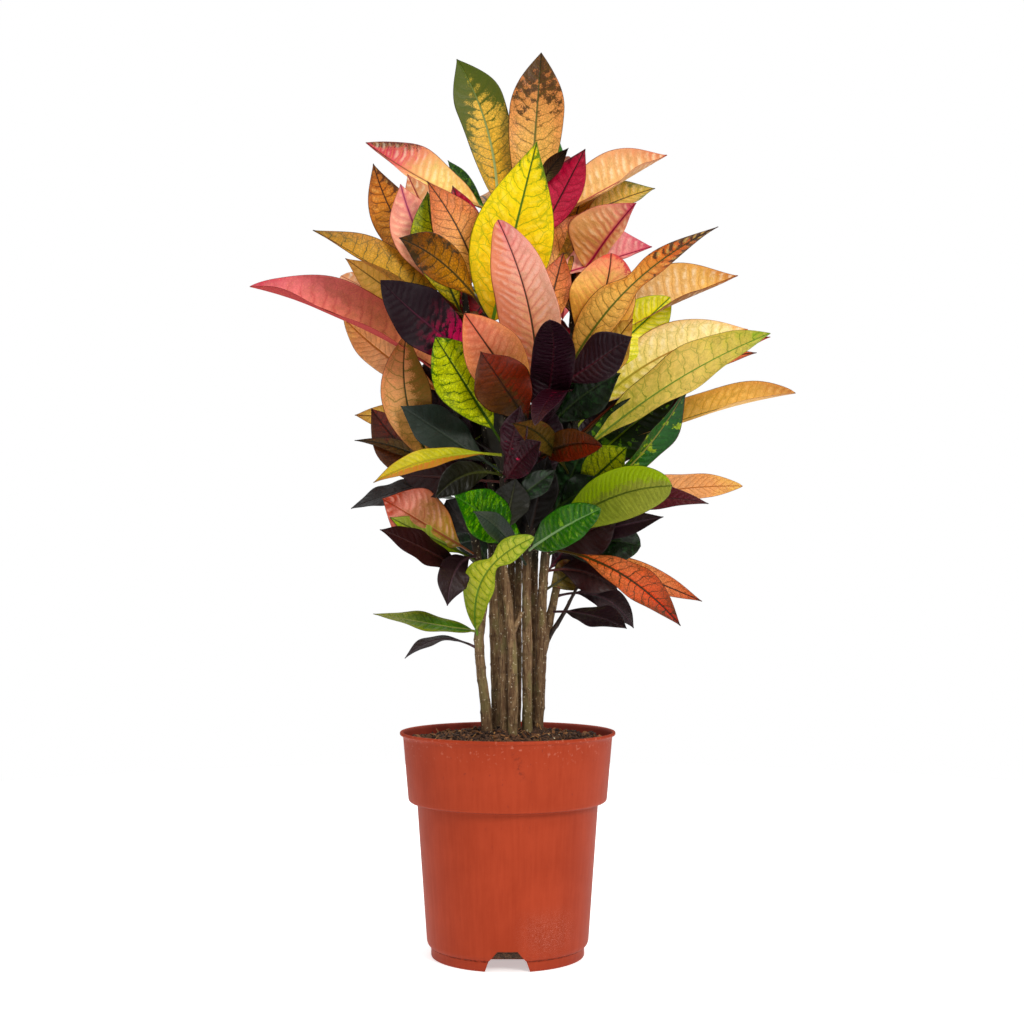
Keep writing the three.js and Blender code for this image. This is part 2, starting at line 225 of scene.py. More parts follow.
bpy.context.scene.world = world
sky = Shade(world.node_tree)
upwards = sky.node("TexCoord").parts()[2]
dome = sky.node("Background", {"Color": WHITE, "Strength": upwards.rise(0.1, 1.0, 0.08, 1.5)})
plain = sky.node("Background", {"Color": WHITE})
either = sky.node("MixShader", {0: sky.node("LightPath"), 1: dome, 2: plain})
sky.node("OutputWorld", {"Surface": either})

# Each lamp: where it hangs from the pot's foot and its size, in metres, and its power in watts.
LAMP_AIM = Vector((0, 0, 0.5))
for name, place, size, power in (
    ("key", (1.15, -1.9, 1.6), 0.8, 36),
    ("fill", (-1.6, -1.8, 1.1), 1.2, 7),
):
    lamp = bpy.data.lights.new(name, "AREA")
    lamp.size = size
    lamp.energy = power
    lamp.color = (1, 0.97, 0.92)
    holder = bpy.data.objects.new(name, lamp)
    holder.location = POT_AXIS + Vector(place)
    aim = POT_AXIS + LAMP_AIM - holder.location
    holder.rotation_euler = aim.to_track_quat("-Z", "Y").to_euler()
    bpy.context.scene.collection.objects.link(holder)

# ---------------------------------------------------------------------------------------- the pot
# A nursery pot 21 cm across, injection-moulded in matt terracotta-coloured plastic: a thin out-turned
# lip, a stiffening band, a tapering body and a foot ring with three drainage notches. The two halves
# of its mould leave a rough seam above the foot ring.

MM = 0.001


def placed(points):
    """Points in mm from the middle of the pot's foot, in metres in the frame."""
    return points * MM + np.array(POT_AXIS)


def coated(start, colour, roughness, height, depth, **fixed):
    """The surface shader: colour and roughness vary, height times depth in metres is its relief,
    and the fixed values are the same all over."""
    values = {"Base Color": colour, "Roughness": roughness}
    values["Normal"] = start.node("Bump", {"Height": height, "Distance": depth, "Strength": 1.0})
    for key, value in fixed.items():
        values[key.replace("_", " ")] = value
    start.node("OutputMaterial", {"Surface": start.node("BsdfPrincipled", values)})


def skin(name, rings, **fields):
    """A closed mesh through rings of points, in metres: each point joins the next one round its
    ring and the next one up, and a point at the middle of each end ring closes the ends. Each field
    is one or three numbers at every point of the rings, for a finish to read."""
    rows, around = rings.shape[:2]
    i, j = np.meshgrid(np.arange(rows - 1), np.arange(around), indexing="ij")
    k = (j + 1) % around
    quads = np.stack([i * around + j, i * around + k, (i + 1) * around + k, (i + 1) * around + j], -1)
    j = np.arange(around)
    k = (j + 1) % around
    foot = np.full(around, rows * around)
    last = (rows - 1) * around
    ends = np.concatenate([np.stack([foot, k, j], -1), np.stack([last + j, last + k, foot + 1], -1)])

    def with_ends(values):
        """The values ring after ring, then their means over the two end rings."""
        return np.concatenate([values.reshape(rows * around, -1), values[[0, -1]].mean(1)])

    mesh = bpy.data.meshes.new(name)
    mesh.from_pydata(with_ends(rings).tolist(), [], quads.reshape(-1, 4).tolist() + ends.tolist())
    for key, values in fields.items():
        flat = with_ends(values).astype(np.float32)
        kind = "FLOAT" if flat.shape[1] == 1 else "FLOAT_VECTOR"
        attribute = mesh.attributes.new(key, kind, "POINT")
        attribute.data.foreach_set("value" if kind == "FLOAT" else "vector", flat.ravel())
    mesh.polygons.foreach_set("use_smooth", np.ones(len(mesh.polygons), bool))
    return mesh


def piece(name, mesh, finish, slot, *stands_for):
    """One object of the plant, standing for the CAD nodes that are named."""
    mesh.materials.append(finish)
    thing = bpy.data.objects.new(name, mesh)
    bpy.context.scene.collection.objects.link(thing)
    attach(thing, "root")
    if stands_for:
        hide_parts(*stands_for)


def turned(profile, sides):
    """A lathed surface: each (radius, height) in mm becomes a ring about the pot's axis."""
    r, z = np.array(profile, float).T
    angle = np.linspace(0, 2 * np.pi, sides, endpoint=False)
    x = r[:, None] * np.cos(angle)
    y = r[:, None] * np.sin(angle)
    return placed(np.stack([x, y, np.broadcast_to(z[:, None], x.shape)], -1))


# The pot's wall: up the outside from the middle of its floor, over the lip and down the inside.
POT_SIDES = 288
pot_mesh = skin("pot", turned([
    (2, 9.3), (40, 9.3), (70.9, 9.3), (71.3, 9.2), (71.5, 8.8), (71.5, 0.6), (71.9, 0.1), (72.3, 0),
    (73.4, 0), (73.9, 0.2), (74.1, 0.7), (74.1, 4), (74.1, 8.6), (74.3, 9.2), (74.9, 9.6), (75.9, 10.2),
    (76.8, 11.2), (77.5, 12.4), (78.0, 13.8), (78.3, 15.4), (80, 38), (82.4, 71), (84.8, 103),
    (87, 133), (87.9, 145), (88.1, 146.4), (88.6, 147.1), (89.6, 147.4), (92, 147.5), (93.8, 147.6),
    (95, 147.9), (95.9, 148.6), (96.4, 149.6), (96.6, 151), (96.8, 153), (98.3, 170), (100, 189),
    (101.6, 207), (101.9, 209.2), (102.5, 210.4), (103.5, 211.1), (104.4, 211.5), (104.9, 212.1),
    (105, 212.9), (104.9, 213.8), (104.5, 214.4), (103.9, 214.6), (102.9, 214.5), (101.8, 213.9),
    (100.9, 212.7), (100.3, 211), (98.4, 189), (96.5, 168), (94.8, 151.6), (94.4, 150.4), (93.4, 149.5),
    (91.8, 149.3), (87.6, 149.2), (86.6, 148.7), (86.3, 147.4), (82.8, 100), (79.2, 50), (76.7, 16.8),
    (76.2, 14.6), (75.2, 12.6), (73.6, 11.4), (72, 11.1), (40, 11.1), (2, 11.1),
], POT_SIDES))

# A drainage notch is a straight cut outwards through the foot ring and the corner above it. Its
# outline's points are across the cut and above the foot, in mm.
NOTCHES = 3
NOTCH_REACH = np.array([62.0, 112.0])
NOTCH_OUTLINE = np.array([(-21.3, -1), (21.3, -1), (17.4, 9.9), (9.3, 19.7), (-9.3, 19.7), (-17.4, 9.9)])
corners = len(NOTCH_OUTLINE)
cut_points = []
cut_faces = []
for notch in range(NOTCHES):
    turn = math.radians(360 / NOTCHES * notch - 90)
    across = np.array([-math.sin(turn), math.cos(turn), 0])
    outwards = np.array([math.cos(turn), math.sin(turn), 0])
    prism = NOTCH_REACH[:, None, None] * outwards + NOTCH_OUTLINE[:, :1] * across
    prism = prism + NOTCH_OUTLINE[:, 1:] * np.array([0, 0, 1])
    cut_points += placed(prism.reshape(-1, 3)).tolist()
    near = [2 * corners * notch + k for k in range(corners)]
    far = [k + corners for k in near]
    cut_faces += [near[::-1], far]
    cut_faces += [list(side) for side in zip(near, near[1:] + near[:1], far[1:] + far[:1], far)]
cutter = bpy.data.objects.new("cutter", bpy.data.meshes.new("cutter"))
cutter.data.from_pydata(cut_points, [], cut_faces)
blank = bpy.data.objects.new("blank", pot_mesh)
for thing in (cutter, blank):
    bpy.context.scene.collection.objects.link(thing)
cut = blank.modifiers.new("notches", "BOOLEAN")
cut.operation = "DIFFERENCE"
cut.solver = "EXACT"
cut.object = cutter
graph = bpy.context.evaluated_depsgraph_get()
notched_mesh = bpy.data.meshes.new_from_object(blank.evaluated_get(graph))
notched_mesh.name = "pot_shell"
notched_mesh.polygons.foreach_set("use_smooth", np.ones(len(notched_mesh.polygons), bool))
notched_mesh.set_sharp_from_angle(angle=math.radians(50))
for thing in (cutter, blank):
    bpy.data.objects.remove(thing)

# Heights in this finish are in metres above the surface that the pot stands on.
pot_plastic, start = new_finish("pot_plastic")
here = start.node("TexCoord", out=3)
local = here.node("VectorMath", {0: here, 1: tuple(POT_AXIS)}, operation="SUBTRACT")
x, y, z = local.parts()
reach = (x * x + y * y) ** 0.5
angle = start.maths("ARCTAN2", x, y * -1)
round_pot = start.node("CombineXYZ", {0: angle * 0.1, 1: z, 2: reach})
clouds = round_pot.noise(18, 4, 0.6)
grain = local.noise(700, 3, 0.6)
streaks = round_pot.stretched(60, 5, 5).noise(4, 4, 0.65)
tone = (clouds * 0.55 + streaks * 0.45).rise(0.3, 0.7)
colour = tone.blend(paint("#8f2f13"), paint("#9f391c"))
colour = colour.painted("#b04b2d", grain.rise(0.62, 0.8) * 0.3)
# Dark specks of soil, more of them on the band, and pale dust under the lip.
specks = local.stretched(1, 1, 0.5).noise(420, 1, 0.4).rise(0.71, 0.77)
colour = colour.painted("#7c2c1c", specks * (0.25 + z.rise(0.1, 0.21) * 0.45))
dust = local.noise(260, 2, 0.6).rise(0.6, 0.72) * z.rise(0.185, 0.209)
colour = colour.painted("#cf8b76", dust * 0.3)
# A smear of soil on the band, and rubbed and scratched places low on the right.
smear = abs(angle * 0.1 + z * 0.25 - 0.058).rise(0.007, 0.0) * abs(z - 0.193).rise(0.02, 0.006)
smear = smear * local.noise(330, 3, 0.7).rise(0.45, 0.68)
colour = colour.painted("#6f2716", smear * 0.8)
rub = abs(angle * 0.1 - 0.05).rise(0.05, 0.005) * abs(z - 0.034).rise(0.03, 0.0)
scratch = round_pot.stretched(9, 60, 1).noise(28, 3, 0.55)
scratch = abs(scratch - 0.5).rise(0.02, 0.004) * rub
colour = colour.painted("#dc9280", scratch * 0.7)
# Inside the band and lip, and along the seam, the plastic is darker. Lower down, painted shade
# darkens the foot ring under the body, and a painted shadow runs under the band.
inner = (reach - (0.0989 + (z - 0.19) * 0.095)).rise(0.0012, 0.0002) * z.rise(0.15, 0.152)
colour = colour.painted("#7a2c20", inner.higher(0.0) * 0.82)
seam = abs(z - 0.0096).rise(0.0012, 0.0004)
seam = seam * local.stretched(1, 1, 0.3).noise(320, 2, 0.6).rise(0.4, 0.56)
colour = colour.painted("#52180f", seam * 0.75)
# Painted shade: the foot ring under the body is darker towards the bottom.
colour = colour.painted("#8a301f", z.rise(0.009, 0.003) * 0.35)
# Painted shadow: a dark line under the band's rounded foot.
shadow_under_band = z.rise(0.1462, 0.1468) * z.rise(0.1486, 0.1476)
colour = colour.painted("#5f2014", shadow_under_band * 0.6)
height = grain * 0.05 + streaks * 0.08 - seam * 0.6 + scratch * 0.1
coated(start, colour, 0.5 + grain * 0.12 - tone * 0.05, height, 0.001, Specular_IOR_Level=0.12)
piece("nursery_pot", notched_mesh, pot_plastic, "pot_plastic", "pot")

# --------------------------------------------------------------------------------------- the soil
# Peat-based potting mix, filled to a centimetre below the rim and heaped a little round the
# canes: dark crumbs with lighter bark chips, fibres and a few pale grains on top.

SOIL_LEVEL = 206
SOIL_SIDES = 320
SOIL_RINGS = 78
HEAP_HEIGHT = 8
HEAP_TOP, HEAP_SLOPE = 18, 62
dice = np.random.default_rng(4)


def eased(t):
    """3t^2 - 2t^3: an S-curve from 0 to 1."""
    return t * t * (3 - 2 * t)


def lumps(x, y, size, count=36):
    """Uneven ground: a sum of sine waves in random directions, in mm, about `size` mm long
    from crest to crest and a twentieth of that high."""
    draw = np.random.default_rng(int(size * 10))
    angle = draw.uniform(0, 2 * np.pi, count)
    wave = 2 * np.pi / (size * draw.uniform(0.6, 1.7, count))
    shift = draw.uniform(0, 2 * np.pi, count)
    along = x[..., None] * np.cos(angle) + y[..., None] * np.sin(angle)
    return np.sin(along * wave + shift).sum(-1) * size / 20 / math.sqrt(count)


def soil_top(x, y):
    """Height in mm of the soil at (x, y): SOIL_LEVEL at the wall, heaped in the middle along an
    S-curve, and lumpy at three sizes."""
    r = np.hypot(x, y)
    heap = HEAP_HEIGHT * (1 - eased(np.clip((r - HEAP_TOP) / HEAP_SLOPE, 0, 1)))
    return SOIL_LEVEL + heap + 1.3 * lumps(x, y, 30) + 1.5 * lumps(x, y, 12) + 1.5 * lumps(x, y, 6)


angle = np.linspace(0, 2 * np.pi, SOIL_SIDES, endpoint=False)
wall = turned([(2, 11.6), (40, 11.6), (70, 11.6), (74, 17), (78, 60), (81.4, 110), (85.5, 147), (93, 150),
               (94.5, 160), (97, 190)], SOIL_SIDES)
# The first ring is the soil's edge, low against the wall, and the last is round its middle.
radii = np.concatenate([[98.6, 98.2], np.linspace(97.4, 1.5, SOIL_RINGS)])
x = radii[:, None] * np.cos(angle)
y = radii[:, None] * np.sin(angle)
top = np.stack([x, y, soil_top(x, y)], -1)
top[0, :, 2] = SOIL_LEVEL - 4
ground = np.concatenate([wall, placed(top)])

soil_mix, start = new_finish("potting_mix")
here = start.node("TexCoord", out=3)
fine = here.noise(420, 4, 0.65)
coarse = here.noise(120, 3, 0.6)
colour = fine.ramp(((0.3, "#150c08"), (0.5, "#38241a"), (0.75, "#6a4630")))
colour = colour.painted("#57381f", coarse.rise(0.55, 0.75) * 0.5)
fibre = here.stretched(1, 1, 3).noise(330, 2, 0.5)
colour = colour.painted("#a47c50", abs(fibre - 0.5).rise(0.012, 0.003) * 0.4)
coated(start, colour, 0.9 - fine * 0.2, fine + coarse, 0.0016, Specular_IOR_Level=0.25)
piece("potting_mix", skin("potting_mix", ground), soil_mix, "potting_mix", "soil")

# Loose pieces lie within STREWN of the pot's axis, and CANE_CLEARANCE from the axis of a cane.
STREWN = 95
CANE_CLEARANCE = 8
CANE_FEET = np.array([(-19, -6), (-12, 6), (-3, -20), (5, -26), (19, -2), (28.5, 12)])


def swung(shapes, angle, a, b):
    """Each shape turned by its own angle in the plane of the axes a and b."""
    c, s = np.cos(angle)[:, None], np.sin(angle)[:, None]
    made = shapes.copy()
    made[..., a] = shapes[..., a] * c - shapes[..., b] * s
    made[..., b] = shapes[..., a] * s + shapes[..., b] * c
    return made


def scattered(name, count, sizes, edge, rings=3, around=6):
    """Many small rounded lumps in one mesh: each is a globe of a few rings, squashed, dented,
    turned and scaled at random, and dropped on the soil. `sizes` are the least and greatest
    half-lengths along the lump's three axes, in mm, and a larger `edge` makes it blunter."""
    polar = np.linspace(0, np.pi, rings + 2)
    azimuth = np.arange(around) * 2 * np.pi / around
    globe = np.stack([
        np.sin(polar)[:, None] * np.cos(azimuth),
        np.sin(polar)[:, None] * np.sin(azimuth),
        np.broadcast_to(np.cos(polar)[:, None], (rings + 2, around)),
    ], -1)[1:-1].reshape(-1, 3)
    globe = np.concatenate([globe, [[0, 0, 1], [0, 0, -1]]])
    globe = np.sign(globe) * np.abs(globe) ** edge
    n = len(globe)
    low, high = np.array(sizes, float)
    shape = globe * (1 + dice.uniform(-0.25, 0.25, (count, n, 1)))
    shape = shape * (low + (high - low) * dice.random((count, 3)) ** 2)[:, None]
    spin = dice.uniform(0, 2 * np.pi, count)
    tilt = dice.normal(0, 0.5, count)
    shape = swung(swung(shape, tilt, 0, 2), spin, 0, 1)
    r = STREWN * np.sqrt(dice.random(count))
    angle = dice.uniform(0, 2 * np.pi, count)
    x, y = r * np.cos(angle), r * np.sin(angle)
    for foot in CANE_FEET:
        away = np.stack([x, y], -1) - foot
        near = np.linalg.norm(away, axis=1)
        push = np.maximum(CANE_CLEARANCE / np.maximum(near, 0.5), 1)[:, None]
        x, y = (foot + away * push).T
    place = np.stack([x, y, soil_top(x, y) + 0.4 * low.mean()], -1)
    points = placed(shape + place[:, None]).reshape(-1, 3)
    j = np.arange(around)
    k = (j + 1) % around
    faces = [np.stack([np.full(around, n - 2), j, k], -1)]
    for ring in range(rings - 1):
        a = ring * around
        faces += [np.stack([a + j, a + around + j, a + k], -1)]
        faces += [np.stack([a + k, a + around + j, a + around + k], -1)]
    a = (rings - 1) * around
    faces += [np.stack([a + k, a + j, np.full(around, n - 1)], -1)]
    faces = np.concatenate(faces)
    many = (faces[None] + n * np.arange(count)[:, None, None]).reshape(-1, 3)
    mesh = bpy.data.meshes.new(name)
    mesh.from_pydata(points.tolist(), [], many.tolist())
    tint = mesh.attributes.new("tint", "FLOAT", "POINT")
    tint.data.foreach_set("value", np.repeat(dice.random(count), n).astype(np.float32))
    return mesh


def crumb_finish(name, stops, relief):
    """Crumbs of one kind, each a shade of its own between the stops, with a fibrous grain."""
    finish, start = new_finish(name)
    tint = start.node("Attribute", out=2, attribute_name="tint")
    grain = start.node("TexCoord", out=3).noise(900, 3, 0.6)
    colour = (tint * 0.8 + grain * 0.4 - 0.1).ramp(stops)
    coated(start, colour, 0.85 - grain * 0.15, grain, relief, Specular_IOR_Level=0.3)
    return finish


# Each kind: its name, how many there are, their least and greatest half-lengths and bluntness, its
# colours, and how deep its grain is in metres.
for name, count, sizes, edge, stops, relief in (
    ("soil_crumbs", 1700, ((0.8, 0.8, 0.7), (4, 3.4, 2.8)), 0.8,
     ((0, "#150d08"), (0.45, "#38241a"), (1, "#7a5436")), 0.0008),
    ("bark_chips", 320, ((1.6, 0.7, 0.4), (7, 2.2, 1.3)), 0.5,
     ((0, "#4a2c18"), (0.6, "#8c5c34"), (1, "#c09058")), 0.0006),
    ("pale_grains", 90, ((0.5, 0.5, 0.5), (1.3, 1.2, 1.1)), 0.8, ((0, "#b89c5c"), (1, "#efe9da")), 0.0003),
):
    piece(name, scattered(name, count, sizes, edge), crumb_finish(name, stops, relief), "potting_mix")

# -------------------------------------------------------------------------------------- the canes
# Six woody canes with four thinner ones behind, each rooted as a cutting: grey-brown bark with a green
# bloom, pale flecks and the scar of every dropped leaf, green at the tip where the wood is young. Two
# of them fork, one carries a dead twig, and one a sawn-off side shoot.

# Each stem: points on its axis, and its radius at the foot and at the tip, all in mm.
STEMS = {
    "left": ([
        (-19, -6, 195), (-20, -7, 215), (-22, -8, 243), (-26, -8, 275), (-28, -8, 303), (-26, -8, 322),
        (-24, -8, 345), (-29, -6, 381), (-38, -5, 440), (-47, -4, 500), (-54, 0, 560),
    ], (5.4, 3)),
    "rear": ([
        (-12, 6, 195), (-11, 6, 215), (-12, 8, 262), (-13, 10, 300), (-14, 14, 345), (-16, 20, 400),
        (-24, 28, 500), (-28, 35, 600), (-18, 40, 700), (-8, 40, 752),
    ], (5, 3)),
    "front": ([
        (-3, -20, 195), (-3, -20, 215), (-3.5, -18, 263), (-3.5, -16, 303), (-6, -12, 342), (-9, -9, 381),
        (-15, -5, 440), (-24, 0, 520), (-37, 5, 600), (-44, 8, 650),
    ], (4.2, 3)),
    "centre": ([
        (5, -26, 195), (5, -26, 215), (5, -27, 263), (4, -27, 303), (0, -26, 342), (-5, -26, 381),
        (-4, -26, 480), (-8, -24, 540), (-18, -22, 600), (-22, -20, 630),
    ], (5, 3)),
    "middle": ([
        (19, -2, 195), (19, -2, 220), (19, 0, 263), (19, 2, 303), (18.5, 4, 342), (19, 6, 381),
        (24, 8, 430), (28, 10, 470), (30, 12, 520), (28, 16, 600), (24, 24, 680), (20, 32, 750),
    ], (5.2, 3)),
    "middle_fork": ([
        (28, 10, 472), (28, 0, 500), (28, -10, 525), (28, -24, 560), (26, -32, 602),
    ], (3.6, 2.8)),
    "right": ([
        (28, 12, 195), (29.5, 12, 218), (31.5, 12, 243), (33.5, 12, 303), (34, 12, 342), (37, 14, 381),
        (44, 18, 430), (55, 22, 480), (62, 26, 560), (66, 30, 640), (66, 30, 722),
    ], (5.5, 3)),
    "right_fork": ([
        (34, 13, 290), (39, 18, 312), (46, 23, 342), (54, 27, 384), (60, 22, 430), (65, 10, 480),
        (66, 0, 540), (62, -6, 605),
    ], (4.4, 2.8)),
    "right_twig": ([
        (38, 17, 300), (44, 16, 311), (50, 14, 320), (56, 12, 330), (66, 10, 350), (76, 10, 368),
    ], (2.9, 0.9)),
    "centre_stub": ([(4, -27, 308), (8, -26.5, 318), (13.5, -26, 331)], (2.8, 2.6)),
    "back": ([
        (1, 32, 195), (1, 32, 215), (3, 33, 260), (4, 34, 320), (3, 37, 400), (0, 42, 500),
    ], (4.6, 3)),
    "back_middle": ([
        (9, 20, 195), (9, 20, 215), (10, 20, 260), (10, 22, 320), (11, 30, 400), (10, 40, 500),
    ], (4, 3)),
    "back_right": ([
        (26, 32, 195), (26, 32, 215), (26, 33, 260), (26, 34, 320), (28, 36, 400), (38, 40, 500),
    ], (4.2, 3)),
    "back_left": ([
        (-7, 26, 195), (-7, 26, 215), (-8, 27, 260), (-9, 28, 320), (-12, 32, 400), (-20, 38, 500),
    ], (4.2, 3)),
}


def stem_axis(points, z):
    """The stem's axis at heights z: between two of its points, a cubic whose slope at each point
    is that of the straight line between the point's neighbours."""
    P = np.array(points, float)
    high = P[:, 2]
    slope = np.empty((len(P), 2))
    slope[1:-1] = (P[2:, :2] - P[:-2, :2]) / (high[2:] - high[:-2])[:, None]
    slope[0] = (P[1, :2] - P[0, :2]) / (high[1] - high[0])
    slope[-1] = (P[-1, :2] - P[-2, :2]) / (high[-1] - high[-2])
    z = np.atleast_1d(np.asarray(z, float))
    i = np.clip(np.searchsorted(high, z) - 1, 0, len(P) - 2)
    step = (high[i + 1] - high[i])[:, None]
    t = (z[:, None] - high[i][:, None]) / step
    xy = ((2 * t ** 3 - 3 * t ** 2 + 1) * P[i, :2] + (t ** 3 - 2 * t ** 2 + t) * step * slope[i]
          + (3 * t ** 2 - 2 * t ** 3) * P[i + 1, :2] + (t ** 3 - t ** 2) * step * slope[i + 1])
    return np.column_stack([xy, z])


def unit(vectors):
    """Each vector over its own length."""
    return vectors / np.linalg.norm(vectors, axis=-1)[..., None]


CANE_SIDES = 24
RING_SPACING = 2
BUD_LENGTH = 8
# A leaf scar: how far it stands out, half its height, and how far round the cane the next one is.
SCAR_RISE, SCAR_HALF, SCAR_TURN = 0.55, 1.1, 2.4


def cane(stem, draw, pointed):
    """A stem as rings RING_SPACING or less apart along its axis. Its radius tapers evenly, swells at
    the leaf scars, and is uneven by three sine waves round it that drift along it; a pointed one
    closes over its last BUD_LENGTH. The field beside them is height, scar, and the stem's own
    number from 0 to 1."""
    points, (thick, thin) = STEMS[stem]
    low, high = points[0][2], points[-1][2]
    z = np.linspace(low, high, int((high - low) / RING_SPACING) + 8)
    axis = stem_axis(points, z)
    along = unit(np.gradient(axis, axis=0))
    side = unit(np.array([1.0, 0, 0]) - along * along[:, :1])
    other = np.cross(along, side)
    angle = np.linspace(0, 2 * np.pi, CANE_SIDES, endpoint=False)
    share = (z - low) / (high - low)
    radius = (thick + (thin - thick) * share)[:, None]
    drift = z[:, None]
    radius = radius * (1 + 0.05 * np.sin(2 * angle + drift / 17 + draw.uniform(0, 6))
                       + 0.035 * np.sin(5 * angle + drift / 9) + 0.03 * np.sin(drift / 3.1 + 3 * angle))
    scar = np.zeros_like(radius)
    at = low + 6
    turn = draw.uniform(0, 6)
    while at < high - 4:
        facing = 0.5 + 0.5 * np.cos(angle - turn)
        scar += np.exp(-((drift - at - 1.5 * facing) / SCAR_HALF) ** 2) * facing ** 2
        at += draw.uniform(5, 13) * (1.15 - 0.6 * (at - low) / (high - low))
        turn += SCAR_TURN
    radius = radius + SCAR_RISE * scar
    if pointed:
        radius = radius * np.sqrt(np.clip((high - drift) / BUD_LENGTH, 0.02, 1))
    rings = axis[:, None] + radius[..., None] * (
        np.cos(angle)[:, None] * side[:, None] + np.sin(angle)[:, None] * other[:, None])
    wood = np.stack([np.broadcast_to(drift, scar.shape), np.minimum(scar, 1),
                     np.full(scar.shape, draw.uniform(0, 1))], -1)
    return placed(rings), wood


bark, start = new_finish("bark")
here = start.node("TexCoord", out=3)
tall, scar, own = start.node("Attribute", out=1, attribute_name="wood").parts()
patch = here.stretched(1, 1, 0.4).noise(75, 3, 0.6)
grain = here.stretched(1, 1, 0.16).noise(520, 4, 0.65)
colour = grain.ramp(((0.25, "#4a3422"), (0.42, "#70573d"), (0.6, "#957b5b"), (0.78, "#b39c78")))
colour = colour.painted("#807a4e", patch.rise(0.5, 0.64) * 0.55)
colour = colour.painted("#5f4028", patch.rise(0.46, 0.34) * 0.5)
# Young wood is green. Under the crown the wood is painted nearly black: painted shade of the
# leaves above. Heights here are in mm.
young = (tall + own * 30).rise(430, 560)
colour = colour.painted("#66702f", young * 0.8)
colour = colour.painted("#1c120a", (tall + patch * 60).rise(385, 435) * 0.9)
colour = colour.node("Gamma", {0: colour, 1: 1.2})
colour = colour.painted("#3e2a1b", scar * 0.5)
fleck = here.node("TexVoronoi", {"Vector": here, "Scale": 260.0})
pit = here.noise(640, 2, 0.6)
colour = colour.painted("#d2c3a2", fleck.rise(0.3, 0.18) * pit.rise(0.48, 0.6) * 0.75)
colour = colour.painted("#24170e", pit.rise(0.36, 0.28) * 0.7)
height = grain * 0.7 + pit * 0.5 + patch * 0.3 + scar * 0.3
coated(start, colour, 0.82 - young * 0.25, height, 0.0012, Specular_IOR_Level=0.35)

dead_wood, start = new_finish("dead_wood")
here = start.node("TexCoord", out=3)
grain = here.stretched(1, 1, 0.3).noise(420, 4, 0.6)
colour = grain.ramp(((0.3, "#120c09"), (0.55, "#2c1c14"), (0.8, "#5a3f2c")))
coated(start, colour, 0.8 - grain * 0.2, grain, 0.001, Specular_IOR_Level=0.35)

# Six of the canes stand for CAD nodes.
draw = np.random.default_rng(12)
CAD_CANES = ("left", "rear", "front", "centre", "middle", "right")
for stem in (*CAD_CANES, "middle_fork", "right_fork", "back", "back_middle", "back_right", "back_left"):
    rings, wood = cane(stem, draw, True)
    nodes = ["cane_" + stem] if stem in CAD_CANES else []
    piece("wood_" + stem, skin("wood_" + stem, rings, wood=wood), bark, "bark", *nodes)
rings, wood = cane("centre_stub", draw, False)
piece("wood_stub", skin("wood_stub", rings, wood=wood), bark, "bark")
rings, wood = cane("right_twig", draw, True)
piece("wood_twig", skin("wood_twig", rings, wood=wood), dead_wood, "bark")

# ------------------------------------------------------------------------------------- the leaves
# Leathery leaves on short stalks, crowded up the canes: thick midribs, side veins that bow up and
# join before the margin, the skin quilted between them. They open green and yellow and turn orange,
# salmon, crimson and nearly black with age, no two alike.

# In mm: the stalk's radius, half the blade's thickness, half the width of the midrib's keel, how
# far the margin waves, and how far from the cane's axis a stalk starts.
STALK_RADIUS = 1.25
BLADE_HALF = 0.25
KEEL = 1.3
RUFFLE = 1.8
STALK_START = 2
# The swollen foot of a stalk: how much thicker it is, and the mm over which that dies away.
SWELL, SWELL_LENGTH = 0.45, 6
STALK_RINGS = 8
# Steps across half a blade, as shares of its half width: close at the midrib and the margin.
ACROSS = np.array([0, 0.03, 0.08, 0.16, 0.28, 0.42, 0.57, 0.72, 0.85, 0.95, 1])
# The common outline: its belly, the powers at foot and tip, and the depth and place of a waist.
COMMON_OUTLINE = (0.58, 1.05, 1.1, 0.0, 0.5)
WAIST_LENGTH = 0.1


